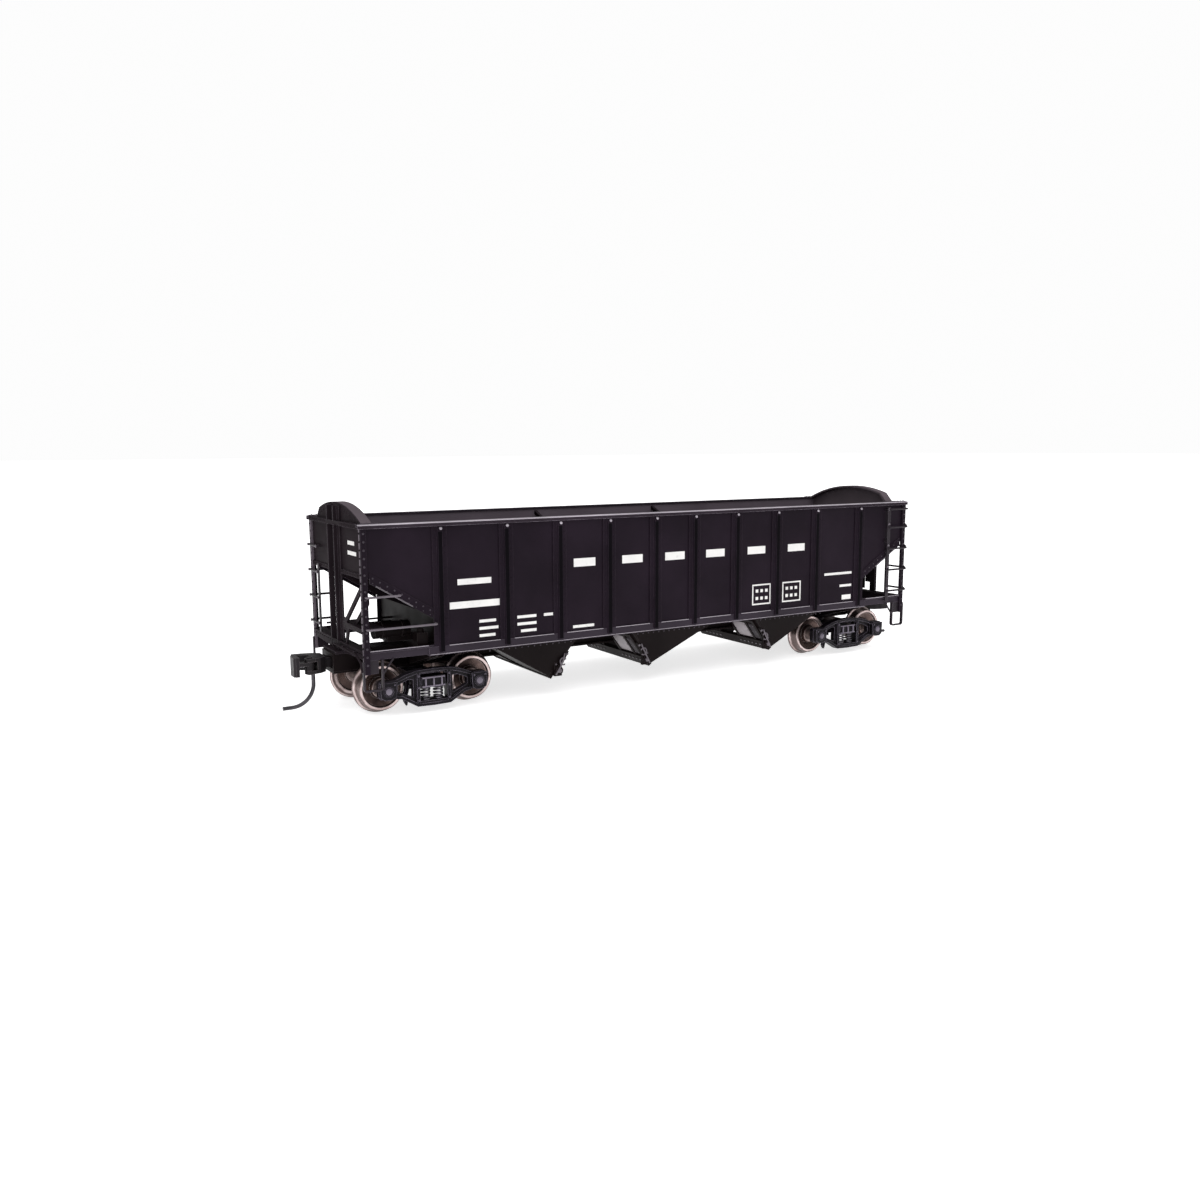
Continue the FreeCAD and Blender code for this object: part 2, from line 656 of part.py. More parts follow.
def knuckle_pin():
    """Rivet that the knuckle turns on."""
    shank = Part.makeCylinder(0.35, HEAD_Z[1] - HEAD_Z[0], V(KNUCKLE_X, KNUCKLE_Y, HEAD_Z[0]))
    top = Part.makeCylinder(0.55, 0.25, V(KNUCKLE_X, KNUCKLE_Y, HEAD_Z[1]))
    foot = Part.makeCylinder(0.55, 0.2, V(KNUCKLE_X, KNUCKLE_Y, HEAD_Z[0] - 0.2))
    return fuse([shank, top, foot])


TRIP_R = 0.4
TRIP_X = 78.75
TRIP_END = 85.2
TRIP_Z = 1.35


def trip_pin():
    """Trip pin at end B: stiff wire hanging from the head and curving outward."""
    points = [(TRIP_X, 0, HEAD_Z[0] + 1.1), (TRIP_X, 0, TRIP_Z), (TRIP_END, 0, TRIP_Z)]
    return wire(points, TRIP_R, 4.6)


# ---------------------------------------------------------------- trucks and wheels
FRAME_IN = 11.7             # inner face of a side frame
FRAME_OUT = 13.0
JOURNAL_OUT = 14.3


def side_frame():
    """Cast side frame, left side, about the truck's centre."""
    half = [
        (0, 9.1), (3.6, 9.0), (6.3, 8.35), (8.4, 7.45), (11.4, 7.3), (11.6, 6.8), (11.6, 4.2),
        (11.2, 3.7), (8.3, 3.7), (7.0, 3.5), (3.6, 1.5), (0, 1.4),
    ]
    points = half + [(-x, z) for x, z in reversed(half[1:-1])]
    plate = prism_xz(points, (FRAME_IN, FRAME_OUT))
    window = [(3.0, 7.7), (3.0, 2.5), (-3.0, 2.5), (-3.0, 7.7), (-2.4, 8.1), (2.4, 8.1)]
    plate = plate.cut(prism_xz(window, (11, 14)))
    eye = [(4.3, 3.5), (4.3, 7.1), (5.3, 7.25), (7.6, 6.3), (7.6, 4.9), (6.6, 4.4)]
    for side in both_ends(prism_xz(eye, (11, 14))):
        plate = plate.cut(side)
    ribs = []
    rib_lines = [
        [(0, 9.1), (3.6, 9.0), (6.3, 8.35), (8.4, 7.45), (8.4, 6.85), (6.2, 7.7), (3.5, 8.4),
         (0, 8.5)],
        [(0, 1.4), (3.6, 1.5), (7.0, 3.5), (8.3, 3.7), (8.3, 4.3), (6.8, 4.1), (3.4, 2.1), (0, 2.0)],
    ]
    for line in rib_lines:
        ribs += both_ends(prism_xz(line, (FRAME_OUT, FRAME_OUT + 0.6)))
    for x in (3.0, -3.65):
        ribs.append(box((x, x + 0.65), (FRAME_OUT, FRAME_OUT + 0.6), (2.0, 8.5)))
    half_base = WHEELBASE / 2
    for x in (-half_base, half_base):
        ribs.append(box((x - 1.5, x + 1.5), (FRAME_OUT, JOURNAL_OUT), (4.1, 7.2)))
        lid = prism_xz([(x - 1.75, 7.3), (x + 1.75, 7.3), (x + 1.6, 4.4), (x + 0.8, 3.75),
                        (x - 0.8, 3.75), (x - 1.6, 4.4)], (JOURNAL_OUT - 0.35, JOURNAL_OUT))
        ribs.append(lid)
    ribs.append(box((-3.0, 3.0), (FRAME_IN - 1.3, FRAME_OUT + 0.4), (1.9, 2.5)))
    frame = fuse([plate] + ribs)
    for x in (-half_base, half_base):
        frame = frame.cut(axle_point(x, 0.08))
    return frame


def axle_point(x, grow):
    """Cone of the left axle end, grown by a clearance."""
    base = AXLE_R + grow
    cone = Part.makeCone(base, 0.15 + grow, AXLE_TIP_Y - FRAME_IN + 0.1,
                         V(x, FRAME_IN - 0.1, AXLE_Z), V(0, 1, 0))
    tip = Part.makeCylinder(0.15 + grow, grow + 0.02, V(x, AXLE_TIP_Y, AXLE_Z), V(0, 1, 0))
    return cone.fuse(tip)


def truck_bolster():
    """Truck bolster: beam between the side frames with the centre plate on top."""
    half = [
        (0, 7.2), (6.0, 7.2), (9.8, 7.45), (13.3, 7.45), (13.3, 5.2), (10.2, 5.2), (6.0, 4.2),
        (0, 4.2),
    ]
    points = half + [(-y, z) for y, z in reversed(half[1:-1])]
    beam = prism_yz(points, (-2.6, 2.6))
    plate = Part.makeCylinder(2.9, BOLSTER_TOP - 7.2, V(0, 0, 7.2))
    hole = Part.makeCylinder(SCREW_R + RUN, 5.0, V(0, 0, 3.5))
    return fuse([beam, plate]).cut(hole)


def truck_springs():
    """Two coil springs under each bolster end, as ribbed bars."""
    low, high, turns = 2.5, 5.2, 4
    pitch = (high - low) / turns
    pieces = []
    for i in range(turns):
        z = low + pitch * i
        lower = Part.makeCone(0.8, 1.15, pitch / 2, V(0, 0, z))
        upper = Part.makeCone(1.15, 0.8, pitch / 2, V(0, 0, z + pitch / 2))
        pieces += [lower, upper]
    spring = fuse(pieces)
    spots = [(x, y) for x in (-1.4, 1.4) for y in (-12.1, 12.1)]
    return [moved(spring, x, y) for x, y in spots]


def brake_beam():
    """Brake beam inside one wheelset: cross bar, heads and shoes, joined to the bolster."""
    x = 3.6
    bar = box((x - 0.35, x + 0.35), (-9.8, 9.8), (4.5, 5.2))
    strut = box((2.6, x), (-0.9, 0.9), (4.5, 5.2))
    shoe_ring = Part.makeCylinder(TREAD_R + 1.25, 2.0, V(WHEELBASE / 2, 7.6, AXLE_Z), V(0, 1, 0))
    shoe_ring = shoe_ring.cut(Part.makeCylinder(TREAD_R + 0.45, 2.0,
                                                V(WHEELBASE / 2, 7.6, AXLE_Z), V(0, 1, 0)))
    shoe = shoe_ring.common(box((3.3, 6.2), (8.6, 9.6), (3.2, 7.4)))
    return fuse([bar, strut] + both_sides(shoe))


def wheel():
    """Left wheel of a wheelset about its axle: flange, coned tread, dished plate, hub."""
    back = WHEEL_BACK
    front = back + WHEEL_WIDTH
    profile = [
        (AXLE_R, back), (1.9, back), (2.1, back + 0.45), (3.7, back + 0.45), (3.95, back),
        (5.1, back), (5.38, back + 0.12), (FLANGE_R, back + 0.34), (5.34, back + 0.6),
        (5.0, back + 0.85), (TREAD_R, back + 1.15), (TREAD_R - 0.08, front - 0.2),
        (TREAD_R - 0.25, front), (4.05, front), (3.85, front - 0.55), (2.3, front - 1.0),
        (2.05, front - 0.1), (1.9, front), (AXLE_R, front),
    ]
    corners = [V(r, y, 0) for r, y in profile]
    face = Part.Face(Part.makePolygon(corners + corners[:1]))
    return face.revolve(V(0, 0, 0), V(0, 1, 0), 360)


def axle():
    """Axle about its middle, with pointed ends."""
    straight = FRAME_IN - 0.1
    bar = Part.makeCylinder(AXLE_R, 2 * straight, V(0, -straight, 0), V(0, 1, 0))
    cone = Part.makeCone(AXLE_R, 0.15, AXLE_TIP_Y - straight, V(0, straight, 0), V(0, 1, 0))
    return fuse([bar] + both_sides(cone))


# ---------------------------------------------------------------- ladders, steps and grabs
WIRE_R = 0.25


LADDER_X = 66.85            # inner rail of a side ladder
LADDER_OUT = SIDE_Y + 1.05
SIDE_RUNGS = ((16.9, 0.6), (22.5, 0.7), (28.1, 0.8), (33.6, 0.8), (37.5, 0.0))   # height, drop
END_RUNG_ZS = (16.4, 22.0, 27.6, 33.1)


def side_ladder():
    """Side ladder at end B, right: inner rail, and drop rungs from it to the corner post."""
    y = -LADDER_OUT
    across = (LADDER_X - 0.45, LADDER_X + 0.45)
    pieces = [box(across, (y - 0.05, y + 0.25), (13.6, 38.0))]
    for z, face in ((13.7, -SILL_Y), (29.0, -SIDE_Y), (37.0, -SIDE_Y)):
        pieces.append(box(across, (y, face), (z, z + 0.5)))
    for z, drop in SIDE_RUNGS:
        front = y - 0.4
        points = [(LADDER_X, y + 0.1, z), (LADDER_X, front, z - drop),
                  (73.0, front, z - drop), (73.0, -CORNER_Y, z)]
        pieces.append(wire(points, WIRE_R, 0.2))
    return fuse(pieces).cut(mirror_y(corner_post()))


def end_ladder():
    """End ladder at end B, right: short inner rail, and rungs from it to the corner post."""
    x = END_OUT + 0.75
    front = x + 0.05
    rail_y = -11.2
    rail = box((x - 0.3, x), (rail_y - 0.45, rail_y + 0.45), (14.6, 29.4))
    head = box((END_OUT + 0.35, x), (rail_y - 0.45, rail_y + 0.45), (28.9, 29.4))
    rungs = []
    for z in END_RUNG_ZS:
        rungs.append(rod((front, -17.5, z), (front, rail_y, z), WIRE_R))
        rungs.append(box((CORNER_OUT, front), (-17.3, -16.7), (z - 0.2, z + 0.2)))
    top = END_RUNG_ZS[-1]
    rungs.append(box((END_OUT, front), (rail_y - 0.4, rail_y + 0.1), (top - 0.2, top + 0.2)))
    return fuse([rail, head] + rungs)


def side_grab(x0, x1, z, end_y):
    """Grab iron on the right side: wire with both ends bent in to the body."""
    y = -(SIDE_Y + 1.3)
    points = [(x0, end_y[0], z), (x0, y, z), (x1, y, z), (x1, end_y[1], z)]
    return wire(points, 0.22, 0.4)


def grab_irons():
    """Grab irons of end A on the right side and their twins on the left at end B."""
    short = side_grab(-72.8, -66.0, 25.3, (-CORNER_Y, -SIDE_Y - SLOPE_FLANGE))
    long = side_grab(-72.8, -BOLSTER_POST_X - 1.3, 19.0, (-CORNER_Y, -SILL_Y))
    return [piece for grab in (short, long) for piece in opposite(grab)]


def sill_step():
    """Sill step at end B, left: a strap stirrup with its brace, and the plate beside it."""
    y = 17.0
    inner_x, outer_x = 69.8, CORNER_OUT + 0.175
    points = [(inner_x, y, 12.8), (inner_x, y, 6.8), (outer_x, y, 6.8), (outer_x, y, 12.6)]
    stirrup = strap(points, 0.75, 0.35, 0.5, (0, 1, 0))
    brace = rod((inner_x, y, 9.8), (67.5, y, 12.9), 0.2).cut(box((60, 72), (16, 18), (12.8, 14)))
    plate = box((70.5, END_OUT), (SIDE_Y - SHEET, SIDE_Y), (CORNER_FOOT, 12.8))
    return fuse([stirrup, brace]), plate


def sill_steps():
    stirrup, plate = sill_step()
    return [piece for shape in (stirrup, plate) for piece in four_corners(shape)]


TIE_XS = (-18.2, 16.0)


def cross_tie(x):
    """Shallow V bar across the inside of the body, hung from below the chords."""
    inner = SIDE_Y - SHEET
    wall_z, middle_z, deep = 38.6, 31.8, 0.9
    points = [
        (-inner, wall_z), (-inner, wall_z - deep), (0, middle_z - deep), (inner, wall_z - deep),
        (inner, wall_z), (0, middle_z),
    ]
    return prism_yz(points, (x - 0.35, x + 0.35))


# ---------------------------------------------------------------- brake gear and levers
HAND_BRAKE_Y = -6.4


def brake_wheel():
    """Upright brake wheel on end B with its gear housing."""
    x, y, z = 75.6, HAND_BRAKE_Y, 33.4
    rim = Part.makeTorus(3.0, 0.28, V(x, y, z), V(1, 0, 0))
    hub = Part.makeCylinder(0.75, 0.8, V(x - 0.4, y, z), V(1, 0, 0))
    spokes = []
    for i in range(5):
        turn = 2 * math.pi * i / 5
        spokes.append(rod((x, y, z), (x, y + 3 * math.cos(turn), z + 3 * math.sin(turn)), 0.2))
    shaft = rod((74.3, y, z), (x, y, z), 0.35)
    housing = box((END_OUT, 74.3), (y - 1.5, y + 1.5), (z - 1.9, z + 1.6))
    return [fuse([rim, hub, shaft] + spokes), housing]


def brake_post():
    """Post from the brake wheel's housing down to the end sill, with a plate beside it."""
    post = box((END_OUT + 0.4, POST_OUT), (HAND_BRAKE_Y - 0.9, HAND_BRAKE_Y + 0.9), (14.6, 31.5))
    plate = box((END_OUT + 0.4, POST_OUT - 0.4), (HAND_BRAKE_Y + 0.9, -END_POST_Y), (16.8, 21.5))
    return fuse([post, plate])


def brake_cylinder():
    """Brake cylinder under end B's slope sheet, along the car, with its push rod."""
    y, z = 7.0, 17.2
    barrel = rod((61.5, y, z), (66.5, y, z), 1.9)
    flange = rod((66.5, y, z), (67.0, y, z), 2.2)
    cap = rod((61.0, y, z), (61.5, y, z), 1.4)
    push = rod((67.0, y, z), (70.5, y, z), 0.3)
    saddle = box((62.5, 65.5), (y - 1.0, y + 1.0), (14.5, z - 1.2))
    foot = box((TRUCK_X + 1.5, 65.5), (y - 1.0, y + 1.0), (14.0, 14.5))
    return fuse([barrel, flange, cap, push, saddle, foot])


def air_reservoir():
    """Air reservoir under end A's slope sheet, right."""
    y, z = -7.2, 16.9
    barrel = rod((60.6, y, z), (68.2, y, z), 1.7)
    bands = [rod((x, y, z), (x + 0.4, y, z), 1.85) for x in (62.0, 66.2)]
    foot = box((TRUCK_X + 1.5, 65.5), (y - 1.0, y + 1.0), (14.5, z - 1.2))
    return mirror_x(fuse([barrel, foot] + bands))


def control_valve():
    """Control valve on the bolster of end A, right."""
    foot = box((TRUCK_X + 1.5, 61.8), (-15.4, -12.9), (14.0, 14.5))
    body = box((59.6, 61.8), (-15.4, -12.9), (14.5, 17.0))
    cap = rod((60.7, -14.1, 17.0), (60.7, -14.1, 17.8), 0.7)
    return mirror_x(fuse([foot, body, cap]))


def brake_pipes():
    """Pipes along the car at end A, left, from the bolster to the end sill's flange."""
    lines = [(9.8, 16.6, 0.22), (10.6, 15.6, 0.2)]
    return [rod((-TRUCK_X - 0.3, y, z), (-72.6, y, z), r) for y, z, r in lines]


def uncoupling_lever():
    """Uncoupling lever at end B: rod along the end sill with a hanging handle."""
    x = POST_OUT + 0.35
    points = [(x, 0.6, 13.1), (x, 0.6, 13.9), (x, 15.2, 13.9), (x - 0.2, 17.2, 12.6),
              (x - 0.2, 17.9, 10.8)]
    lever = wire(points, 0.22, 0.4)
    brackets = [box((73.6, x), (y - 0.2, y + 0.2), (13.5, 14.3)) for y in (6.2, 13.2)]
    return fuse([lever] + brackets)


# ---------------------------------------------------------------- build
def build_body():
    left_sheet = side_sheet()
    posts = side_posts()
    save("side_sheet_left", [left_sheet])
    save("side_sheet_right", [mirror_y(left_sheet)])
    save("side_posts_left", posts)
    save("side_posts_right", [mirror_y(post) for post in posts])
    chord = top_chord()
    save("top_chord_left", [chord])
    save("top_chord_right", [mirror_y(chord)])
    end = end_sheet()
    save("end_sheet_a", [end])
    save("end_sheet_b", [half_turn(end)])
    save("corner_posts", four_corners(corner_post()))
    save("end_posts", end_posts())
    save("end_sills", both_ends(end_sill()))
    end_frame = [end_platform()] + end_braces()
    save("end_platforms", [piece for shape in end_frame for piece in opposite(shape)])
    save("side_sills", both_sides(side_sill()))
    slope = slope_sheet()
    save("slope_sheet_a", [mirror_x(slope)])
    save("slope_sheet_b", [slope])
    save("cross_ties", [cross_tie(x) for x in TIE_XS])


def build_bays():
    for name, tip_x, gentle_x, door_x in BAYS:
        save("hopper_chute_" + name, both_sides(chute_half(tip_x, gentle_x, door_x)))
    doors = []
    locks = []
    for name, tip_x, gentle_x, door_x in BAYS:
        doors += both_sides(door(tip_x, door_x))
        locks += both_sides(door_lock(tip_x, gentle_x, door_x))
        doors.append(door_beam(tip_x, door_x))
    save("hopper_doors", doors)
    save("door_locks", locks)
    save("bay_ridges", [ridge_sheet(*ridge) for ridge in RIDGES] + [centre_hood()])


def build_underframe():
    save("centre_sill", [centre_sill()])
    save("body_bolsters", [piece for part in body_bolster() for piece in both_ends(part)])
    save("truck_and_box_screws", both_ends(truck_screw()) + both_ends(coupler_screw()))
    save("coupler_boxes", both_ends(coupler_box()))
    save("coupler_box_lids", both_ends(coupler_lid()))
    save("centring_springs", both_ends(centring_spring()))


def build_fittings():
    save("ladders", opposite(side_ladder()) + opposite(end_ladder()))
    save("grab_irons", grab_irons())
    save("sill_steps", sill_steps())
    save("hand_brake", brake_wheel() + [brake_post()])
    save("brake_cylinder", [brake_cylinder()])
    save("air_reservoir", [air_reservoir()])
    save("control_valve_and_pipes", [control_valve()] + brake_pipes())
    save("uncoupling_levers", opposite(uncoupling_lever()))


def build_couplers():
    for end, place in (("b", lambda shape: shape), ("a", half_turn)):
        save("coupler_head_" + end, [place(coupler_head())])
        save("knuckle_" + end, [place(knuckle())])
        save("knuckle_pin_" + end, [place(knuckle_pin())])
        save("trip_pin_" + end, [place(trip_pin())])


def build_trucks():
    frames = both_sides(side_frame())
    bolster = truck_bolster()
    springs = truck_springs()
    beams = both_ends(brake_beam())
    wheels = both_sides(wheel())
    bar = axle()
    for end, x in (("a", -TRUCK_X), ("b", TRUCK_X)):
        save("side_frames_" + end, [moved(frame, x) for frame in frames])
        save("truck_bolster_" + end, [moved(bolster, x)])
        save("truck_springs_" + end, [moved(spring, x) for spring in springs])
        save("brake_beams_" + end, [moved(beam, x) for beam in beams])
        for place, offset in (("outer", 1), ("inner", -1)):
            axle_x = x + offset * math.copysign(WHEELBASE / 2, x)
            name = end + "_" + place
            save("wheels_" + name, [moved(disc, axle_x, 0, AXLE_Z) for disc in wheels])
            save("axle_" + name, [moved(bar, axle_x, 0, AXLE_Z)])


os.makedirs("parts", exist_ok=True)
build_body()
build_bays()
build_underframe()
build_fittings()
build_couplers()
build_trucks()
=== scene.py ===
import math

import bmesh
import bpy
from mathutils import Matrix, Vector


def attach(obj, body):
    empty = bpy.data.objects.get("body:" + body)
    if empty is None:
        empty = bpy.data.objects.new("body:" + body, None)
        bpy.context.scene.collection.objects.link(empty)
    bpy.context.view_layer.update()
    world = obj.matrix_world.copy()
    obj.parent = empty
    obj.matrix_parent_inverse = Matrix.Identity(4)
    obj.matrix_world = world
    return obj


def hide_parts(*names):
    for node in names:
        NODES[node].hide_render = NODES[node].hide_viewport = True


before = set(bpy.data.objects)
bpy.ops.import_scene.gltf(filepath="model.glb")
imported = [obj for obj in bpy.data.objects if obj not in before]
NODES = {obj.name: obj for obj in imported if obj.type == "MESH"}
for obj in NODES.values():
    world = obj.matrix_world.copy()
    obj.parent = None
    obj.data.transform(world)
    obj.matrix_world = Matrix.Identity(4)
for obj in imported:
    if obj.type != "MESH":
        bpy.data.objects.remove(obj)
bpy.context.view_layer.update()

# The looks of an HO scale model hopper car, built round its CAD frame. Lengths in the tables are
# millimetres and become metres where a piece is made. X runs along the car, Y across, Z up.
# End A is at -X, end B at +X; right is -Y, left is +Y.

MM = 0.001

# ---------------------------------------------------------------- the car's own dimensions, in mm
SIDE_Y = 16.9               # outer face of the side sheets
INNER_Y = 16.8              # the side sheets' inner faces, lightened as painted light, stand within this
POST_XS = tuple(x * e for x in (5.4, 17.65, 30.0, 42.6, 57.25) for e in (-1, 1))
POST_FLANGE_Y = 17.15       # outer face of the posts' flanges
RIDGE_FOOT_Y = 17.45        # just inside the crown, on the flanks of the posts' ridges
RIDGE_Y = 17.55             # crown of the posts' ridges
SILL_TOP = 14.2             # upper edge of the side sills between the posts
SHEET_TOP = 37.6            # highest row of rivets on sides, corners and ends
SLOPE_TAN = 0.61            # fall of the slope sheets per mm along the car
SLOPE_TOP = (72.3, 29.0)    # x and z where the slope line starts
CORNER_X = 73.4             # end face of the corner posts
CORNER_Y = 17.4             # side face of the corner posts
CHORD_Z = 39.35             # flat top of the chords
CHORD_END = 73.9
END_X = 72.9                # outer face of the end sheets
END_INNER_X = 72.75         # the end sheets' inner faces, lightened as painted light, stand within this
END_STRIP = 0.35            # thickness of the strips on the end sheets
SHIELD_R = 37.7             # radius of the heap shields' arched edge
SHIELD_TOP = 43.0
TRUCK_X = 57.8              # truck centres
HALF_BASE = 9.9             # half the wheelbase of a truck
AXLE_Z = 5.45
JOURNAL_Y = 14.3            # outer face of the journal boxes
FRAME_Y = 13.0              # outer face of the side frames' web
BAYS = ((-31.4, -25.3), (-4.4, -10.4), (31.4, 25.3))    # mouth tip, top of the door
BAY_FOOT, BAY_TOP = 4.4, 12.65
CHUTE_Y = 15.7              # outer face of the chute walls at BAY_TOP
CHUTE_LEAN = (CHUTE_Y - 13.9) / (BAY_TOP - BAY_FOOT)
ENDS = (("a", -1), ("b", 1))
SIDES = (("right", -1), ("left", 1))
CORNERS = tuple((e, s) for e in (-1, 1) for s in (-1, 1))

# ---------------------------------------------------------------- depths of finish, in metres
PAINT_GRAIN = 0.00001
METAL_MARKS = 0.000006
RUBBED_AND_LIT_REACH = 0.00013            # how far lightened edges reach in on paint: rubbed paint and painted highlight
PAINT_SHADE_REACH = 0.0012       # how far the painted shade of a hollow reaches on paint
METAL_SHADE_REACH = 0.0016       # and on metal
HUB_BAND = (0.0021, 0.0017)             # radii on a wheel's face between which a band fades in
RIM_BAND = (0.0037, 0.0042)
GROOVE_IN, GROOVE_OUT = (0.0044, 0.00462), (0.0051, 0.00492)
FLANGE_BAND = (0.00522, 0.0054)


# ---------------------------------------------------------------- materials
class Nodes:
    """A short way to build one material's node tree."""

    def __init__(self, name):
        self.material = bpy.data.materials.new(name)
        self.material.use_nodes = True
        self.tree = self.material.node_tree
        self.shader = self.tree.nodes["Principled BSDF"]
        self.place = self.add("ShaderNodeTexCoord").outputs["Object"]

    def feed(self, socket, value):
        """Links another node's output to a socket, or sets the socket to a constant."""
        if isinstance(value, bpy.types.NodeSocket):
            self.tree.links.new(value, socket)
        else:
            socket.default_value = value

    def add(self, kind, inputs=(), **settings):
        node = self.tree.nodes.new(kind)
        for key, value in settings.items():
            setattr(node, key, value)
        for key, value in dict(inputs).items():
            self.feed(node.inputs[key], value)
        return node

    def noise(self, scale, detail=3.0, roughness=0.55, stretch=(1, 1, 1), shift=0.0):
        place = self.add("ShaderNodeMapping", {
            "Vector": self.place, "Scale": stretch, "Location": (shift, shift, shift)})
        return self.add("ShaderNodeTexNoise", {
            "Vector": place.outputs["Vector"], "Scale": scale, "Detail": detail,
            "Roughness": roughness}).outputs["Fac"]

    def remap(self, value, low, high, out_low=0.0, out_high=1.0):
        return self.add("ShaderNodeMapRange", {
            "Value": value, "From Min": low, "From Max": high,
            "To Min": out_low, "To Max": out_high}).outputs["Result"]

    def math(self, operation, a, b):
        return self.add("ShaderNodeMath", {0: a, 1: b}, operation=operation).outputs["Value"]

    def mix(self, factor, a, b):
        """Blend of two colours; the mix node's colour sockets go by number."""
        return self.add("ShaderNodeMix", {0: factor, 6: a, 7: b}, data_type="RGBA").outputs[2]

    def edges(self, radius):
        """Rounded normal, and a mask that is 1 on edges and 0 on flat faces."""
        bevel = self.add("ShaderNodeBevel", {"Radius": radius}, samples=6).outputs["Normal"]
        flat = self.add("ShaderNodeNewGeometry").outputs["Normal"]
        likeness = self.add("ShaderNodeVectorMath", {0: bevel, 1: flat},
                            operation="DOT_PRODUCT").outputs["Value"]
        return bevel, self.remap(likeness, 0.995, 0.75)

    def painted_hollow_shade(self, colour, reach, depth):
        """Painted shade: darkens a colour where other surfaces stand close by."""
        open_sky = self.add("ShaderNodeAmbientOcclusion", {"Distance": reach},
                            samples=6).outputs["AO"]
        hidden = self.remap(open_sky, 0.3, 0.9, depth, 0.0)
        return self.mix(hidden, colour, rgb(0.004, 0.003, 0.003))

    def set(self, **values):
        for key, value in values.items():
            self.feed(self.shader.inputs[key.replace("_", " ")], value)

    def bump(self, height, strength, distance, **inputs):
        return self.add("ShaderNodeBump", {"Height": height, "Strength": strength,
                                           "Distance": distance, **inputs}).outputs["Normal"]


def rgb(r, g, b):
    return (r, g, b, 1.0)


def painted(name, base, edge, rough, dust_and_top_light, dust_and_top_light_colour, specular, grain=2600.0,
            grain_depth=PAINT_GRAIN, painted_hollow_shade=0.0, rubbed_and_lit_edges=RUBBED_AND_LIT_REACH, inside=None):
    """Satin painted plastic: fine grain, uneven sheen, edges lightened as rubbed paint and painted
    highlight, and on upward faces a dusting that also serves as a painted top light.

    inside is an axis, how far out along it the inner faces reach in mm, and their colour: much
    lighter than the outer faces, painted light where they stand in shade.
    """
    n = Nodes(name)
    broad = n.remap(n.noise(70.0, 4.0), 0.35, 0.68)
    fine = n.noise(grain, 2.0, 0.6)
    speck = n.remap(n.noise(900.0, 3.0, 0.7, shift=3.0), 0.56, 0.74)
    rounded, edge_mask = n.edges(rubbed_and_lit_edges)
    lighter = tuple(c * 1.55 for c in base)
    colour = n.mix(broad, rgb(*base), rgb(*lighter))
    # Edges lightened towards the edge colour: partly rubbed paint, partly painted highlight.
    rub_and_highlight = n.math("MULTIPLY", edge_mask, n.remap(n.noise(420.0, 3.0), 0.3, 0.62, 0.35, 1.0))
    colour = n.mix(rub_and_highlight, colour, rgb(*edge))
    # Upward faces blend towards the dusting colour: dusting, and where that colour is lighter than
    # the paint a painted top light; streaks and specks are dusting only.
    up = n.add("ShaderNodeSeparateXYZ",
               {"Vector": n.add("ShaderNodeNewGeometry").outputs["Normal"]}).outputs["Z"]
    upward_dust_and_light = n.math("MULTIPLY", n.remap(up, 0.15, 0.95), n.remap(n.noise(160.0, 5.0), 0.35, 0.7))
    streak = n.remap(n.noise(260.0, 4.0, 0.6, (1.0, 1.0, 0.16), 7.0), 0.55, 0.8, 0.0, 0.35)
    dust_and_light_mask = n.math("MULTIPLY", n.math("MAXIMUM", upward_dust_and_light, streak), dust_and_top_light)
    dust_and_light_mask = n.math("ADD", dust_and_light_mask, n.math("MULTIPLY", speck, dust_and_top_light * 0.35))
    colour = n.mix(dust_and_light_mask, colour, rgb(*dust_and_top_light_colour))
    # Painted shade in hollows, where asked.
    if painted_hollow_shade:
        colour = n.painted_hollow_shade(colour, PAINT_SHADE_REACH, painted_hollow_shade)
    # Inner faces lightened: painted light where they stand in shade, in a random tone.
    if inside:
        axis, face, lit_inner_colour = inside
        across = n.add("ShaderNodeSeparateXYZ", {"Vector": n.place}).outputs[axis]
        inner = n.remap(n.math("ABSOLUTE", across, 0.0), face * MM, (face - 0.05) * MM)
        lit_inner_tone = n.mix(broad, rgb(*lit_inner_colour), rgb(*(c * 0.8 for c in lit_inner_colour)))
        colour = n.mix(inner, colour, lit_inner_tone)
    sheen = n.remap(n.noise(120.0, 4.0, shift=5.0), 0.3, 0.7, rough[0], rough[1])
    n.set(Base_Color=colour, Roughness=n.math("ADD", sheen, n.math("MULTIPLY", dust_and_light_mask, 0.5)),
          Normal=n.bump(fine, 0.6, grain_depth, Normal=rounded), Specular_IOR_Level=specular)
    return n.material


def metal(name, base, stain, rough=(0.25, 0.42), stretch=(1, 1, 1), depth=METAL_MARKS,
          metallic=1.0, painted_hollow_shade=0.0, rubbed_and_lit_edges=None, rubbed_and_lit_reach=0.0001, specular=0.5):
    """Bare or blackened metal: stained in patches, with turning or drawing marks, edges lightened
    as rubbed metal and painted highlight, and where asked painted shade in hollows.
    """
    n = Nodes(name)
    patches = n.remap(n.noise(240.0, 5.0, 0.6), 0.42, 0.72)
    marks = n.noise(1500.0, 2.0, 0.7, stretch, 2.0)
    rounded, edge_mask = n.edges(rubbed_and_lit_reach)
    colour = n.mix(patches, rgb(*base), rgb(*stain))
    # Edges lightened: partly rubbed metal, partly painted highlight.
    bright = rubbed_and_lit_edges or tuple(min(1.0, c * 1.5 + 0.03) for c in base)
    colour = n.mix(n.math("MULTIPLY", edge_mask, 0.8), colour, rgb(*bright))
    # Painted shade in hollows, where asked.
    if painted_hollow_shade:
        colour = n.painted_hollow_shade(colour, METAL_SHADE_REACH, painted_hollow_shade)
    sheen = n.math("ADD", n.remap(marks, 0.3, 0.7, rough[0], rough[1]),
                   n.math("MULTIPLY", patches, 0.12))
    n.set(Base_Color=colour, Roughness=sheen, Normal=n.bump(marks, 0.5, depth, Normal=rounded),
          Metallic=metallic, Specular_IOR_Level=specular)
    return n.material


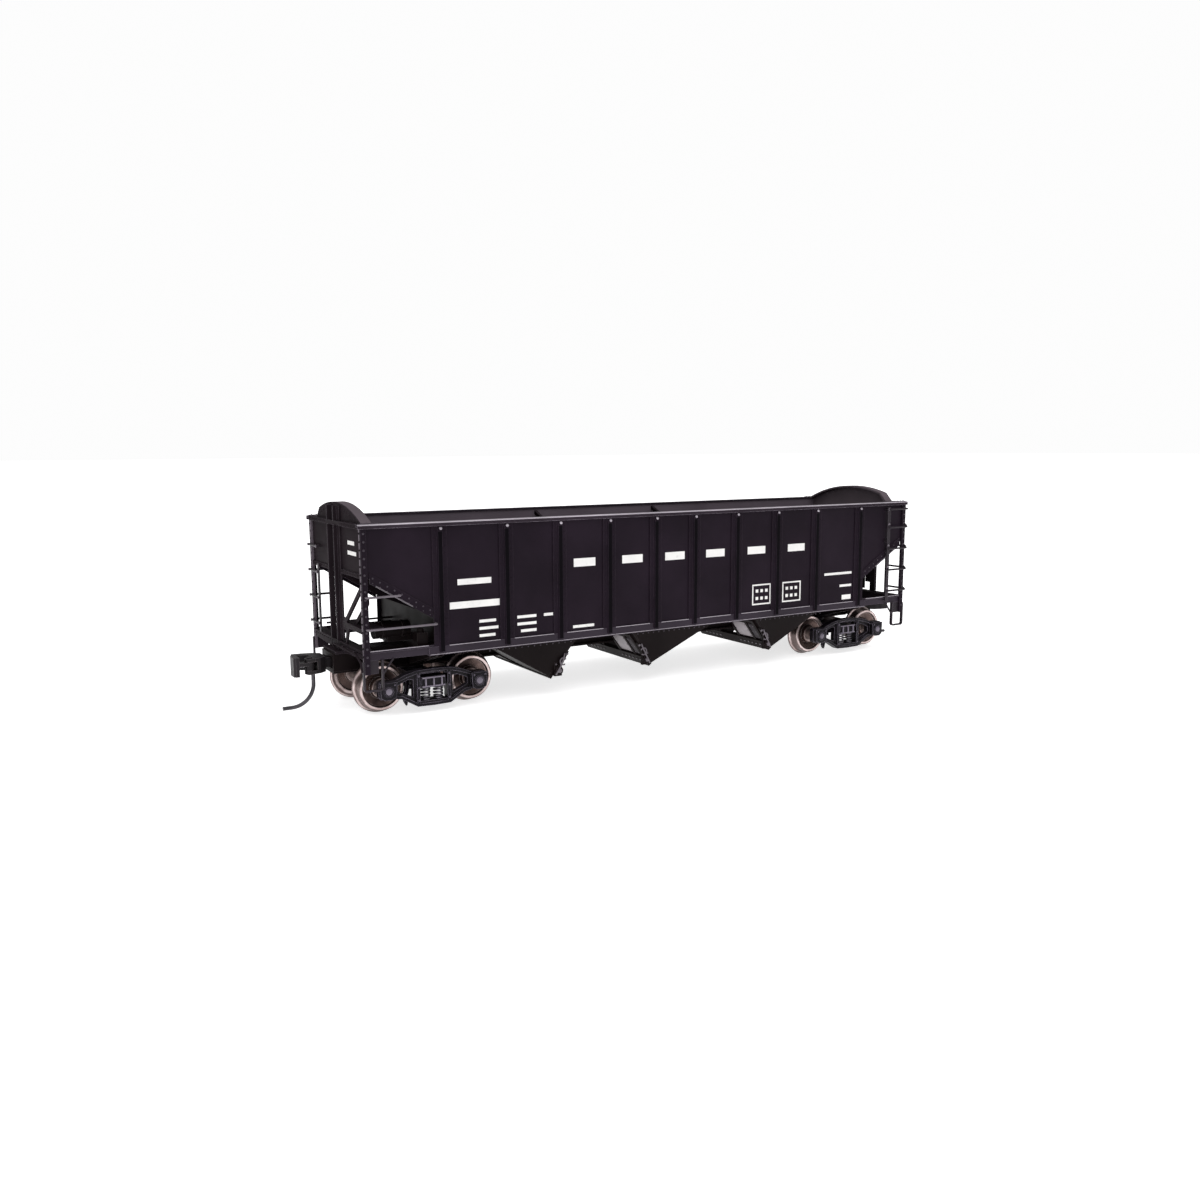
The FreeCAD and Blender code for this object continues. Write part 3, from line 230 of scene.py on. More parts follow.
def wheel_metal(name, centre):
    """Blackened wheel with a bright machined rim and tread, stains in its dish, darker rings within
    the rim and at the flange tip, painted highlights on its edges and painted shade in its hollows.
    """
    n = Nodes(name)
    offset = n.add("ShaderNodeVectorMath", {0: n.place, 1: centre}, operation="SUBTRACT")
    flat = n.add("ShaderNodeVectorMath", {0: offset.outputs["Vector"], 1: (1.0, 0.0, 1.0)},
                 operation="MULTIPLY")
    radius = n.add("ShaderNodeVectorMath", {0: flat.outputs["Vector"]},
                   operation="LENGTH").outputs["Value"]
    wobble = n.math("MULTIPLY", n.math("SUBTRACT", n.noise(500.0, 3.0), 0.5), 0.0006)
    uneven = n.math("ADD", radius, wobble)
    rim = n.remap(uneven, *RIM_BAND)
    hub = n.remap(uneven, *HUB_BAND)
    stains = n.remap(n.noise(260.0, 5.0, 0.6), 0.38, 0.66)
    turning = n.noise(900.0, 2.0, 0.7, shift=2.0)
    rounded, edge_mask = n.edges(0.00012)
    dish = n.mix(stains, rgb(0.17, 0.118, 0.105), rgb(0.055, 0.036, 0.034))
    bright = n.mix(stains, rgb(0.74, 0.62, 0.61), rgb(0.42, 0.32, 0.305))
    # Darker in a ring within the bright rim and at the flange tip.
    groove = n.math("MULTIPLY", n.remap(uneven, *GROOVE_IN), n.remap(uneven, *GROOVE_OUT))
    dark_rings = n.math("MAXIMUM", groove, n.remap(uneven, *FLANGE_BAND))
    bright = n.mix(n.math("MULTIPLY", dark_rings, 0.88), bright, rgb(0.10, 0.068, 0.062))
    colour = n.mix(n.math("MAXIMUM", rim, n.math("MULTIPLY", hub, 0.5)), dish, bright)
    # Painted highlight on the edges.
    colour = n.mix(n.math("MULTIPLY", edge_mask, 0.75), colour, rgb(0.88, 0.80, 0.79))
    # Painted shade in hollows.
    colour = n.painted_hollow_shade(colour, METAL_SHADE_REACH, 0.75)
    sheen = n.math("ADD", n.remap(turning, 0.3, 0.7, 0.2, 0.34),
                   n.math("MULTIPLY", stains, 0.1))
    n.set(Base_Color=colour, Roughness=sheen, Metallic=0.9,
          Normal=n.bump(turning, 0.5, METAL_MARKS, Normal=rounded))
    return n.material


def marking_paint():
    """White printed paint, a little thin in places so that the black shows through."""
    n = Nodes("marking_paint")
    thin = n.remap(n.noise(1400.0, 4.0, 0.65), 0.6, 0.8)
    warm = n.remap(n.noise(200.0, 3.0), 0.3, 0.7)
    colour = n.mix(warm, rgb(0.86, 0.85, 0.83), rgb(0.74, 0.73, 0.72))
    colour = n.mix(n.math("MULTIPLY", thin, 0.35), colour, rgb(0.12, 0.11, 0.12))
    n.set(Base_Color=colour, Roughness=n.remap(warm, 0.0, 1.0, 0.5, 0.65),
          Normal=n.bump(n.noise(3000.0), 0.4, METAL_MARKS), Specular_IOR_Level=0.35)
    return n.material


# Inner faces much lighter than the outer ones: painted light.
SIDE_PAINT = painted("side_paint", (0.0100, 0.0062, 0.0105), (0.070, 0.052, 0.070),
                     rough=(0.46, 0.62), dust_and_top_light=0.06, dust_and_top_light_colour=(0.036, 0.027, 0.036),
                     specular=0.06, inside=("Y", INNER_Y, (0.15, 0.124, 0.148)))
# Painted shade: darker paint for the crowns of the posts' ridges, which stand in shade.
RIDGE_SHADE_PAINT = painted("ridge_painted_shade", (0.0022, 0.0014, 0.0026), (0.03, 0.023, 0.033),
                      rough=(0.5, 0.65), dust_and_top_light=0.03, dust_and_top_light_colour=(0.03, 0.024, 0.03), specular=0.04)
SILL_PAINT = painted("sill_paint", (0.0200, 0.0145, 0.0215), (0.17, 0.14, 0.175),
                     rough=(0.4, 0.56), dust_and_top_light=0.12, dust_and_top_light_colour=(0.05, 0.039, 0.05), specular=0.13)
TRIM_PAINT = painted("trim_paint", (0.0135, 0.0098, 0.0120), (0.125, 0.104, 0.125),
                     rough=(0.45, 0.6), dust_and_top_light=0.07, dust_and_top_light_colour=(0.045, 0.036, 0.043), specular=0.02)
# Inner faces much lighter than the outer ones: painted light.
END_PAINT = painted("end_paint", (0.0125, 0.0090, 0.0110), (0.125, 0.104, 0.125),
                    rough=(0.45, 0.6), dust_and_top_light=0.07, dust_and_top_light_colour=(0.045, 0.036, 0.043), specular=0.01,
                    inside=("X", END_INNER_X, (0.125, 0.103, 0.117)))
LADDER_PAINT = painted("ladder_paint", (0.016, 0.012, 0.016), (0.16, 0.138, 0.16),
                       rough=(0.34, 0.5), dust_and_top_light=0.12, dust_and_top_light_colour=(0.09, 0.075, 0.09), specular=0.16)
# Chord edges much lighter: rubbed paint and painted highlight.
CHORD_PAINT = painted("chord_paint", (0.024, 0.018, 0.024), (0.42, 0.37, 0.43), rough=(0.4, 0.56),
                      dust_and_top_light=0.08, dust_and_top_light_colour=(0.09, 0.075, 0.088), specular=0.02)
# Light paint for thin beads and domes: painted highlights.
HIGHLIGHT_BEAD_PAINT = painted("bead_painted_highlight", (0.32, 0.29, 0.325), (0.50, 0.46, 0.51), rough=(0.34, 0.5),
                     dust_and_top_light=0.35, dust_and_top_light_colour=(0.1, 0.085, 0.095), specular=0.45)
# Lightened for thin grab irons and rung heads: painted highlight.
GRAB_HIGHLIGHT_PAINT = painted("grab_painted_highlight", (0.105, 0.088, 0.105), (0.40, 0.36, 0.41), rough=(0.3, 0.45),
                     dust_and_top_light=0.3, dust_and_top_light_colour=(0.03, 0.024, 0.03), specular=0.5)
# Upward faces much lighter: dusting and a painted top light.
INNER_PAINT = painted("inner_paint", (0.0075, 0.0052, 0.0066), (0.045, 0.036, 0.044),
                      rough=(0.5, 0.7), dust_and_top_light=0.5, dust_and_top_light_colour=(0.052, 0.042, 0.050), specular=0.0)
UNDER_PAINT = painted("under_paint", (0.0052, 0.0032, 0.0034), (0.075, 0.060, 0.064),
                      rough=(0.4, 0.58), dust_and_top_light=0.09, dust_and_top_light_colour=(0.035, 0.026, 0.024),
                      specular=0.06)
# Lighter than the sheets beneath: painted highlights on rivet heads.
RIVET_HIGHLIGHT_PAINT = painted("rivet_painted_highlight", (0.040, 0.032, 0.041), (0.15, 0.128, 0.15),
                      rough=(0.4, 0.55), dust_and_top_light=0.1, dust_and_top_light_colour=(0.06, 0.05, 0.058), specular=0.2)
# Light paint for lock parts, door studs and slope lips: painted highlights.
LOCK_HIGHLIGHT_PAINT = painted("lock_painted_highlight", (0.075, 0.062, 0.074), (0.34, 0.31, 0.345), rough=(0.28, 0.44),
                     dust_and_top_light=0.35, dust_and_top_light_colour=(0.02, 0.016, 0.020), specular=0.5)
# Light paint for the inner door panels: painted reflection of the pale floor.
PANEL_REFLECTION_PAINT = painted("panel_painted_reflection", (0.26, 0.235, 0.25), (0.42, 0.39, 0.41), rough=(0.34, 0.5),
                      dust_and_top_light=0.7, dust_and_top_light_colour=(0.06, 0.05, 0.052), specular=0.4)
# Upward faces lightened as dusting and a painted top light, edges as rubbed paint and painted
# highlight, painted shade in hollows.
CASTING = painted("truck_casting", (0.0040, 0.0030, 0.0048), (0.36, 0.315, 0.40),
                  rough=(0.26, 0.46), grain=1900.0, grain_depth=0.000022, dust_and_top_light=0.24,
                  dust_and_top_light_colour=(0.15, 0.128, 0.16), specular=0.12, painted_hollow_shade=0.85, rubbed_and_lit_edges=0.00017)
# Light paint for ribs and lid domes on the trucks: painted highlights.
RIB_HIGHLIGHT_PAINT = painted("casting_rib_highlights", (0.11, 0.094, 0.122), (0.46, 0.41, 0.50),
                    rough=(0.24, 0.42), grain=1900.0, grain_depth=0.00002, dust_and_top_light=0.5,
                    dust_and_top_light_colour=(0.02, 0.016, 0.021), specular=0.45, rubbed_and_lit_edges=0.0002)
AXLE = metal("axle_steel", (0.33, 0.31, 0.30), (0.14, 0.12, 0.11), stretch=(1, 0.1, 1))
# Edges lightened as rubbed metal and painted highlight; painted shade in hollows.
COUPLER = metal("coupler_metal", (0.020, 0.017, 0.019), (0.008, 0.007, 0.008), rough=(0.30, 0.46),
                depth=0.00002, metallic=0.0, rubbed_and_lit_edges=(0.22, 0.19, 0.20), rubbed_and_lit_reach=0.00016,
                painted_hollow_shade=0.8, specular=0.12)
WIRE = metal("trip_wire", (0.075, 0.07, 0.078), (0.035, 0.032, 0.036), rough=(0.24, 0.4),
             metallic=0.75)
# Painted shade in the coils' hollows.
SPRING = metal("spring_metal", (0.16, 0.148, 0.172), (0.04, 0.036, 0.042), rough=(0.2, 0.36),
               metallic=0.8, painted_hollow_shade=0.6)
LEAF = metal("leaf_metal", (0.55, 0.47, 0.33), (0.33, 0.26, 0.17))
SCREW = metal("screw_steel", (0.42, 0.42, 0.43), (0.2, 0.19, 0.19), rough=(0.22, 0.38))
MARKING = marking_paint()

FINISHES = (
    # starts of node names, material
    (("side_sheet", "side_posts", "corner_posts"), SIDE_PAINT),
    (("side_sills",), SILL_PAINT),
    (("top_chord",), CHORD_PAINT),
    (("grab_irons",), GRAB_HIGHLIGHT_PAINT),
    (("slope_sheet", "bay_ridges", "cross_ties"), INNER_PAINT),
    (("ladders", "sill_steps"), LADDER_PAINT),
    (("end_sheet",), END_PAINT),
    (("end_posts", "end_sills", "end_platforms", "hand_brake", "uncoupling_levers"), TRIM_PAINT),
    (("hopper_chute", "hopper_doors", "door_locks", "centre_sill", "body_bolsters",
      "coupler_box", "brake_cylinder", "air_reservoir", "control_valve"), UNDER_PAINT),
    (("side_frames", "truck_bolster", "brake_beams"), CASTING),
    (("axle_",), AXLE),
    (("coupler_head", "knuckle"), COUPLER),
    (("trip_pin",), WIRE),
    (("centring_springs",), LEAF),
    (("truck_springs",), SPRING),
    (("truck_and_box_screws",), SCREW),
)


def dress_frame():
    """Gives every CAD node its finish."""
    for name, obj in NODES.items():
        if name.startswith("wheels_"):
            centre = sum((Vector(corner) for corner in obj.bound_box), Vector()) / 8
            finish = wheel_metal("metal_of_" + name, centre)
        else:
            finish = next(m for starts, m in FINISHES if name.startswith(starts))
        obj.data.materials.clear()
        obj.data.materials.append(finish)


# ---------------------------------------------------------------- mesh helpers
def put_in_scene(name, data):
    obj = bpy.data.objects.new(name, data)
    bpy.context.scene.collection.objects.link(obj)
    return obj


BLOCK_CORNERS = tuple((i, j, k) for i in (0, 1) for j in (0, 1) for k in (0, 1))


def block_key(axis, along, v, w):
    """Corner of a block by its side on one axis and on the two axes that follow it."""
    key = (along, v, w)
    return key[-axis:] + key[:-axis]


class Piece:
    """Collects shapes in mm into one mesh that rides on one body."""

    def __init__(self):
        self.bm = bmesh.new()

    def ring(self, centre, across, up, radius, count):
        points = []
        for i in range(count):
            turn = 2 * math.pi * i / count
            points.append(centre + (across * math.cos(turn) + up * math.sin(turn)) * radius)
        return [self.bm.verts.new(p * MM) for p in points]

    def bridge(self, low, high):
        count = len(low)
        for i in range(count):
            j = (i + 1) % count
            self.bm.faces.new((low[i], low[j], high[j], high[i]))

    def skin(self, rings):
        """Closed surface through a row of rings."""
        for low, high in zip(rings, rings[1:]):
            self.bridge(low, high)
        self.bm.faces.new(list(reversed(rings[0])))
        self.bm.faces.new(rings[-1])

    def turned(self, place, normal, profile, count):
        """Solid turned about an axis: profile is (radius, height) pairs from its foot up."""
        place = Vector(place)
        axis = Vector(normal).normalized()
        across = axis.orthogonal().normalized()
        up = axis.cross(across)
        rings = [self.ring(place + axis * h, across, up, r, count) for r, h in profile]
        self.skin(rings)

    def rivet(self, place, normal, radius, height):
        """Low dome whose foot is sunk into the face behind it."""
        self.turned(place, normal, [
            (radius, -0.06), (radius, height * 0.25), (radius * 0.82, height * 0.68),
            (radius * 0.42, height * 0.96)], 8)

    def bolt(self, place, normal, radius, height):
        """Hexagonal nut with its stub of thread."""
        self.turned(place, normal, [
            (radius, -0.06), (radius, height * 0.8), (radius * 0.86, height),
            (radius * 0.5, height), (radius * 0.5, height * 1.45)], 6)

    def block(self, corner, opposite, chamfer):
        """Block with chamfered edges between two opposite corners, given in either order."""
        ends = [sorted(pair) for pair in zip(corner, opposite)]
        spots = {}      # by axis and key: that axis's face corner next to the block's corner
        for key in BLOCK_CORNERS:
            for axis in range(3):
                spot = [ends[i][key[i]] + (0.0 if i == axis else chamfer * (1 - 2 * key[i]))
                        for i in range(3)]
                spots[axis, key] = self.bm.verts.new(Vector(spot) * MM)
        for axis in range(3):
            b, c = (axis + 1) % 3, (axis + 2) % 3
            for side in (0, 1):
                face = [block_key(axis, side, v, w) for v, w in ((0, 0), (1, 0), (1, 1), (0, 1))]
                self.bm.faces.new([spots[axis, key] for key in face])
            for v, w in ((0, 0), (1, 0), (1, 1), (0, 1)):
                near, far = block_key(axis, 0, v, w), block_key(axis, 1, v, w)
                self.bm.faces.new((spots[b, near], spots[b, far], spots[c, far], spots[c, near]))
        for key in BLOCK_CORNERS:
            self.bm.faces.new([spots[axis, key] for axis in range(3)])

    def slab(self, low, high):
        """Solid between two matching rings of corners."""
        self.skin([[self.bm.verts.new(Vector(corner) * MM) for corner in ring]
                   for ring in (low, high)])

    def prism(self, outline, y0, y1):
        """Outline of (x, z) corners pushed from y0 to y1."""
        self.slab([(x, y0, z) for x, z in outline], [(x, y1, z) for x, z in outline])

    def upright(self, outline, z0, z1):
        """Outline of (x, y) corners raised from z0 to z1."""
        self.slab([(x, y, z0) for x, y in outline], [(x, y, z1) for x, y in outline])

    def tube(self, points, radius, count=8):
        """Round wire through points close together."""
        points = [Vector(p) for p in points]
        rings = []
        up = (points[1] - points[0]).orthogonal().normalized()
        for i, point in enumerate(points):
            run = points[min(i + 1, len(points) - 1)] - points[max(i - 1, 0)]
            run.normalize()
            up = (up - run * up.dot(run)).normalized()
            rings.append(self.ring(point, up, run.cross(up), radius, count))
        self.skin(rings)

    def coil(self, foot, axis, length, radius, wire, turns, steps=16):
        """Helical spring with flat-lying end turns."""
        foot, axis = Vector(foot), Vector(axis).normalized()
        across = axis.orthogonal().normalized()
        up = axis.cross(across)
        total = int((turns + 1.5) * steps)
        points = []
        for i in range(total + 1):
            turn = 2 * math.pi * i / steps
            along = min(max(i / steps - 0.75, 0.0), turns) / turns
            height = wire + (length - 2 * wire) * along
            around = across * math.cos(turn) + up * math.sin(turn)
            points.append(foot + axis * height + around * radius)
        self.tube(points, wire, 6)

    def finish(self, name, material, body, slot, smooth=True):
        bmesh.ops.recalc_face_normals(self.bm, faces=self.bm.faces)
        mesh = bpy.data.meshes.new(name)
        self.bm.to_mesh(mesh)
        self.bm.free()
        mesh.materials.append(material)
        if smooth:
            mesh.shade_smooth()
            mesh.set_sharp_from_angle(angle=math.radians(38))
        obj = put_in_scene(name, mesh)
        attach(obj, body)
        return obj


def spaced(start, stop, pitch):
    """Even places from start to stop, about one pitch apart."""
    count = max(1, round(abs(stop - start) / pitch))
    return [start + (stop - start) * i / count for i in range(count + 1)]


def slope_z(x):
    """Height of the slope line at x."""
    return SLOPE_TOP[1] - (SLOPE_TOP[0] - abs(x)) * SLOPE_TAN


def arc_z(y, radius):
    """Height over y of an arc about the heap shields' centre."""
    return SHIELD_TOP - SHIELD_R + math.sqrt(radius * radius - y * y)


# ---------------------------------------------------------------- rivets on the body
def side_rivets():
    """Two columns on each post, a double row along each slope flange, one on each corner."""
    pitch = 1.45
    for side, s in SIDES:
        piece, edge = Piece(), Piece()
        out = (0, s, 0)
        flange_y = s * (SIDE_Y + 0.22)
        for x in POST_XS:
            for dx in (-1.2, 1.2):
                for z in spaced(15.2, 37.4, pitch):
                    piece.rivet((x + dx, s * POST_FLANGE_Y, z), out, 0.17, 0.09)
        for e in (-1, 1):
            for x in spaced(59.6, 71.2, pitch):
                edge.rivet((e * x, flange_y, slope_z(x) + 0.55), out, 0.2, 0.14)
                edge.rivet((e * x, flange_y, slope_z(x) - 0.4), out, 0.13, 0.08)
            for z in spaced(12.0, SHEET_TOP, 1.6):
                edge.rivet((e * 72.85, s * CORNER_Y, z), out, 0.26, 0.16)
        piece.finish("rivets_" + side, SIDE_PAINT, "car_body", "body_black")
        # Flange and corner rivets lighter than the sheet: painted highlights.
        edge.finish("highlight_rivets_" + side, RIVET_HIGHLIGHT_PAINT, "car_body", "body_black")


def end_rivets():
    """Columns on corners, centre posts and sheet edges, rows across, an arch under the crest."""
    pitch = 1.5
    for end, e in ENDS:
        piece = Piece()
        out = (e, 0, 0)
        strip_x = e * (END_X + END_STRIP)
        rail_x = e * (END_X + 2 * END_STRIP)
        for s in (-1, 1):
            for z in spaced(12.0, SHEET_TOP, 1.6):
                piece.rivet((e * CORNER_X, s * 16.65, z), out, 0.22, 0.14)
            for z in spaced(16.0, SHEET_TOP, pitch):
                piece.rivet((strip_x, s * 3.15, z), out, 0.2, 0.14)
            for z in spaced(30.4, 37.4, pitch):
                piece.rivet((e * END_X, s * 15.5, z), out, 0.19, 0.12)
            for y in spaced(5.0, 15.6, pitch):
                piece.rivet((strip_x, s * y, 29.2), out, 0.19, 0.12)
                piece.rivet((e * 73.3, s * y, 13.9), out, 0.17, 0.12)
            for y in spaced(5.0, 15.4, pitch):
                piece.rivet((rail_x, s * y, 38.85), out, 0.19, 0.13)
        for y in spaced(-9.4, 9.4, 1.55):
            if abs(abs(y) - 3.0) > 1.3:     # the centre posts stand here
                piece.rivet((e * END_X, y, arc_z(y, SHIELD_R - 1.1)), out, 0.19, 0.13)
        piece.finish("rivets_end_" + end, TRIM_PAINT, "car_body", "body_black")


def chord_corner_plates():
    """Riveted plates over the chord ends, where the corner posts come up."""
    piece = Piece()
    top = CHORD_Z + 0.14
    for e, s in CORNERS:
        piece.block((e * 69.4, s * 16.3, CHORD_Z - 0.05), (e * 73.5, s * 17.3, top), 0.04)
        for x in (69.9, 70.9, 71.9, 72.9):
            piece.rivet((e * x, s * 16.8, top), (0, 0, 1), 0.2, 0.13)
    piece.finish("chord_corner_plates", CHORD_PAINT, "car_body", "body_black")


# ---------------------------------------------------------------- markings: plain bars only
SIDE_BARS = (
    # x0, x1, z0, z1 on the right side
    (-53.5, -46.0, 26.3, 27.5), (-55.3, -43.4, 21.5, 22.9),
    (-48.9, -45.1, 18.2, 18.8), (-48.9, -44.6, 16.7, 17.3), (-48.9, -45.3, 15.2, 15.8),
    (-40.2, -35.7, 18.3, 18.9), (-40.2, -35.7, 16.8, 17.4), (-39.4, -35.7, 15.3, 15.9),
    (-33.9, -31.7, 18.3, 18.9), (-26.8, -21.5, 15.0, 15.6),
    (45.8, 55.1, 21.5, 22.1), (51.1, 55.1, 18.3, 18.9), (51.9, 55.0, 15.0, 16.2),
)
STRIPE_XS = (-23.8, -11.5, 0.0, 11.5, 23.8, 36.3)       # middles of the broken stripe's bars
STRIPE_HALF = 2.7
BOXES = ((22.7, 28.4), (32.1, 38.0))                    # x0, x1 of the two outlined boxes
END_BARS = ((7.9, 12.0, 34.9, 35.7), (7.7, 13.0, 32.9, 33.7))       # y0, y1, z0, z1


def markings():
    """Thin printed bars; the left side repeats the right side turned end for end."""
    piece = Piece()
    thick, sunk, chamfer = 0.035, 0.02, 0.012

    def side_bar(x0, x1, z0, z1):
        for s in (-1, 1):
            piece.block((-s * x0, s * (SIDE_Y - sunk), z0), (-s * x1, s * (SIDE_Y + thick), z1),
                        chamfer)

    for bar in SIDE_BARS:
        side_bar(*bar)
    for x in STRIPE_XS:
        side_bar(x - STRIPE_HALF, x + STRIPE_HALF, 28.3, 30.1)
    for x0, x1 in BOXES:
        z0, z1, line = 15.9, 20.9, 0.34
        side_bar(x0, x1, z0, z0 + line)
        side_bar(x0, x1, z1 - line, z1)
        side_bar(x0, x0 + line, z0 + line, z1 - line)
        side_bar(x1 - line, x1, z0 + line, z1 - line)
        for i in range(3):
            for z in (17.1, 18.9):
                x = x0 + 1.05 + i * 1.45
                side_bar(x, x + 0.8, z, z + 0.75)
    for e in (-1, 1):
        for y0, y1, z0, z1 in END_BARS:
            piece.block((e * (END_X - sunk), e * y0, z0), (e * (END_X + thick), e * y1, z1),
                        chamfer)
    piece.finish("plain_bar_markings", MARKING, "car_body", "body_black", smooth=False)


# ---------------------------------------------------------------- truck detail
def spring_coils():
    """Two coils in each side frame, in place of the solids' ribbed bars."""
    for end, e in ENDS:
        piece = Piece()
        for x in (-1.4, 1.4):
            for s in (-1, 1):
                foot = (e * TRUCK_X + x, s * 12.1, 2.5)
                piece.coil(foot, (0, 0, 1), 2.7, 0.92, 0.2, 3.6)
        coils = piece.finish("spring_coils_" + end, SPRING, "truck_" + end, "spring_metal")
        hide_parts("truck_springs_" + end)


LID_RING = ((1.2, -0.1), (1.2, 0.12), (1.08, 0.2), (0.92, 0.2), (0.86, 0.08))  # radius, height
LID_DOME = ((0.72, -0.1), (0.7, 0.16), (0.58, 0.24), (0.3, 0.3))
SHOE_TIP = ((4.2, 3.6), (4.95, 3.4), (4.95, 2.4), (5.1, 1.9), (4.55, 0.95),    # x, z
            (4.35, 1.1), (4.1, 2.3))


def frame_detail():
    """Bolster-end ribs and journal lid domes in light paint as painted highlights, column bolts,
    journal lids and the low tips of the brake shoes.
    """
    for end, e in ENDS:
        piece, ribs = Piece(), Piece()
        middle = e * TRUCK_X
        for s in (-1, 1):
            out = (0, s, 0)
            face = s * (FRAME_Y + 0.3)
            foot = face - s * 0.05
            for x in (middle - 1.75, middle, middle + 1.75):
                ribs.block((x - 0.15, foot, 5.6), (x + 0.15, face + s * 0.42, 7.1), 0.06)
            for z in (5.3, 7.1):
                ribs.block((middle - 2.5, foot, z), (middle + 2.5, face + s * 0.3, z + 0.3), 0.07)
            for x in (-3.33, 3.33):
                for z in (2.75, 5.4, 7.85):
                    piece.bolt((middle + x, s * (FRAME_Y + 0.6), z), out, 0.28, 0.22)
            for x in (middle - HALF_BASE, middle + HALF_BASE):
                lid = (x, s * JOURNAL_Y, AXLE_Z + 0.1)
                piece.turned(lid, out, LID_RING, 20)
                ribs.turned(lid, out, LID_DOME, 12)
                for dx in (-1.25, 1.25):
                    piece.bolt((x + dx, s * JOURNAL_Y, AXLE_Z + 1.35), out, 0.22, 0.18)
                piece.block((x - 1.35, s * 11.9, 7.25), (x + 1.35, s * 14.0, 7.5), 0.08)
            for way in (-1, 1):
                piece.prism([(middle + way * x, z) for x, z in SHOE_TIP], s * 8.8, s * 9.5)
        piece.finish("truck_detail_" + end, CASTING, "truck_" + end, "truck_casting")
        ribs.finish("truck_rib_highlights_" + end, RIB_HIGHLIGHT_PAINT, "truck_" + end, "truck_casting")


# ---------------------------------------------------------------- coupler and body detail
def knuckle_springs():
    """Small coil that holds each knuckle shut."""
    for end, e in ENDS:
        piece = Piece()
        piece.coil((e * 79.25, e * 0.75, 10.1), (e, e * 0.06, 0), 2.5, 0.42, 0.085, 7.5, 12)
        piece.finish("knuckle_spring_" + end, SPRING, "coupler_" + end, "spring_metal")


def ladder_bolts():
    """Heads of the rungs' ends on the two side ladders and the end ladders, in light paint as
    painted highlights.
    """
    piece = Piece()
    for e in (-1, 1):
        for z in (16.9, 22.5, 28.1, 33.6, 37.5):
            piece.rivet((e * 66.85, -e * 18.0, z), (0, -e, 0), 0.36, 0.2)
            piece.rivet((e * 73.0, -e * CORNER_Y, z), (0, -e, 0), 0.34, 0.2)
        for z in (16.4, 22.0, 27.6, 33.1):
            for y in (17.0, 11.2):
                piece.rivet((e * 73.92, -e * y, z), (e, 0, 0), 0.34, 0.18)
    piece.finish("ladder_bolts", GRAB_HIGHLIGHT_PAINT, "car_body", "body_black")


def post_ridge_shade():
    """Painted shade: dark sheet over the crown of each post's ridge, from the sill up to its
    sloping top.
    """
    piece = Piece()
    crown = RIDGE_Y + 0.02
    section = ((-0.5, RIDGE_FOOT_Y), (-0.45, crown), (0.45, crown), (0.5, RIDGE_FOOT_Y))
    for x in POST_XS:
        for s in (-1, 1):
            piece.upright([(x + dx, s * y) for dx, y in section], 13.15, 37.35)
    piece.finish("post_ridge_shade", RIDGE_SHADE_PAINT, "car_body", "body_black")


def post_cap_highlights():
    """Domes in light paint where the posts' ridges slope in under the chords: painted highlights.
    """
    piece = Piece()
    for x in POST_XS:
        for s in (-1, 1):
            piece.rivet((x + 0.25, s * 17.36, 37.95), (0, s * 0.85, 0.4), 0.34, 0.2)
    piece.finish("post_cap_highlights", HIGHLIGHT_BEAD_PAINT, "car_body", "body_black")


def slope_lip_highlights():
    """Narrow lip in light paint along the foot of each slope flange: a painted highlight."""
    piece = Piece()
    low, high = 63.2, 70.6
    for e, s in CORNERS:
        outline = [(e * x, slope_z(x) - drop)
                   for x, drop in ((low, 0.8), (high, 0.8), (high, 0.5), (low, 0.5))]
        piece.prism(outline, s * (SIDE_Y + 0.15), s * (SIDE_Y + 0.3))
    piece.finish("slope_lip_highlights", LOCK_HIGHLIGHT_PAINT, "car_body", "body_black")


def edge_highlight_beads():
    """Thin beads in light paint as painted highlights: top edge of each side sill between the
    posts, and each chord's outer edge.
    """
    piece = Piece()
    posts = sorted(POST_XS)
    spans = [(a + 1.6, b - 1.6, SILL_TOP) for a, b in zip(posts, posts[1:])]
    spans += [(-72.2, -60.1, 14.55), (60.1, 72.2, 14.55)]
    for s in (-1, 1):
        foot, crest = s * 17.0, s * 17.24
        for x0, x1, z in spans:
            piece.block((x0, foot, z), (x1, crest, z + 0.14), 0.05)
        piece.block((-59.8, foot, 12.64), (59.8, crest, 12.74), 0.03)
        piece.block((-CHORD_END, s * 17.2, CHORD_Z - 0.32),
                    (CHORD_END, s * 17.57, CHORD_Z + 0.02), 0.08)
    piece.finish("edge_highlight_beads", HIGHLIGHT_BEAD_PAINT, "car_body", "body_black")


# ---------------------------------------------------------------- hopper doors and chutes
def facing(tip_x, door_x):
    """Which way along the car a bay's doors face: 1 or -1."""
    return 1 if door_x > tip_x else -1


def door_place(tip_x, door_x):
    """Function from a distance up the door and a height off it to x and z, and the outward way."""
    way = facing(tip_x, door_x)
    run = Vector((door_x - tip_x, 0, BAY_TOP - BAY_FOOT)).normalized()
    out = Vector((way * run.z, 0, -way * run.x))

    def place(along, off):
        spot = Vector((tip_x, 0, BAY_FOOT)) + run * (along + 0.15) + out * off
        return spot.x, spot.z
    return place, out


PANEL_SECTION = ((2.75, 0.35), (7.6, 0.35), (7.6, 0.5), (7.4, 0.62),    # along, off the door
                 (2.95, 0.62), (2.75, 0.5))
WING_OUTLINE = ((0.6, 13.8), (9.9, 13.8), (9.9, 15.6), (0.6, 13.95))    # along, y


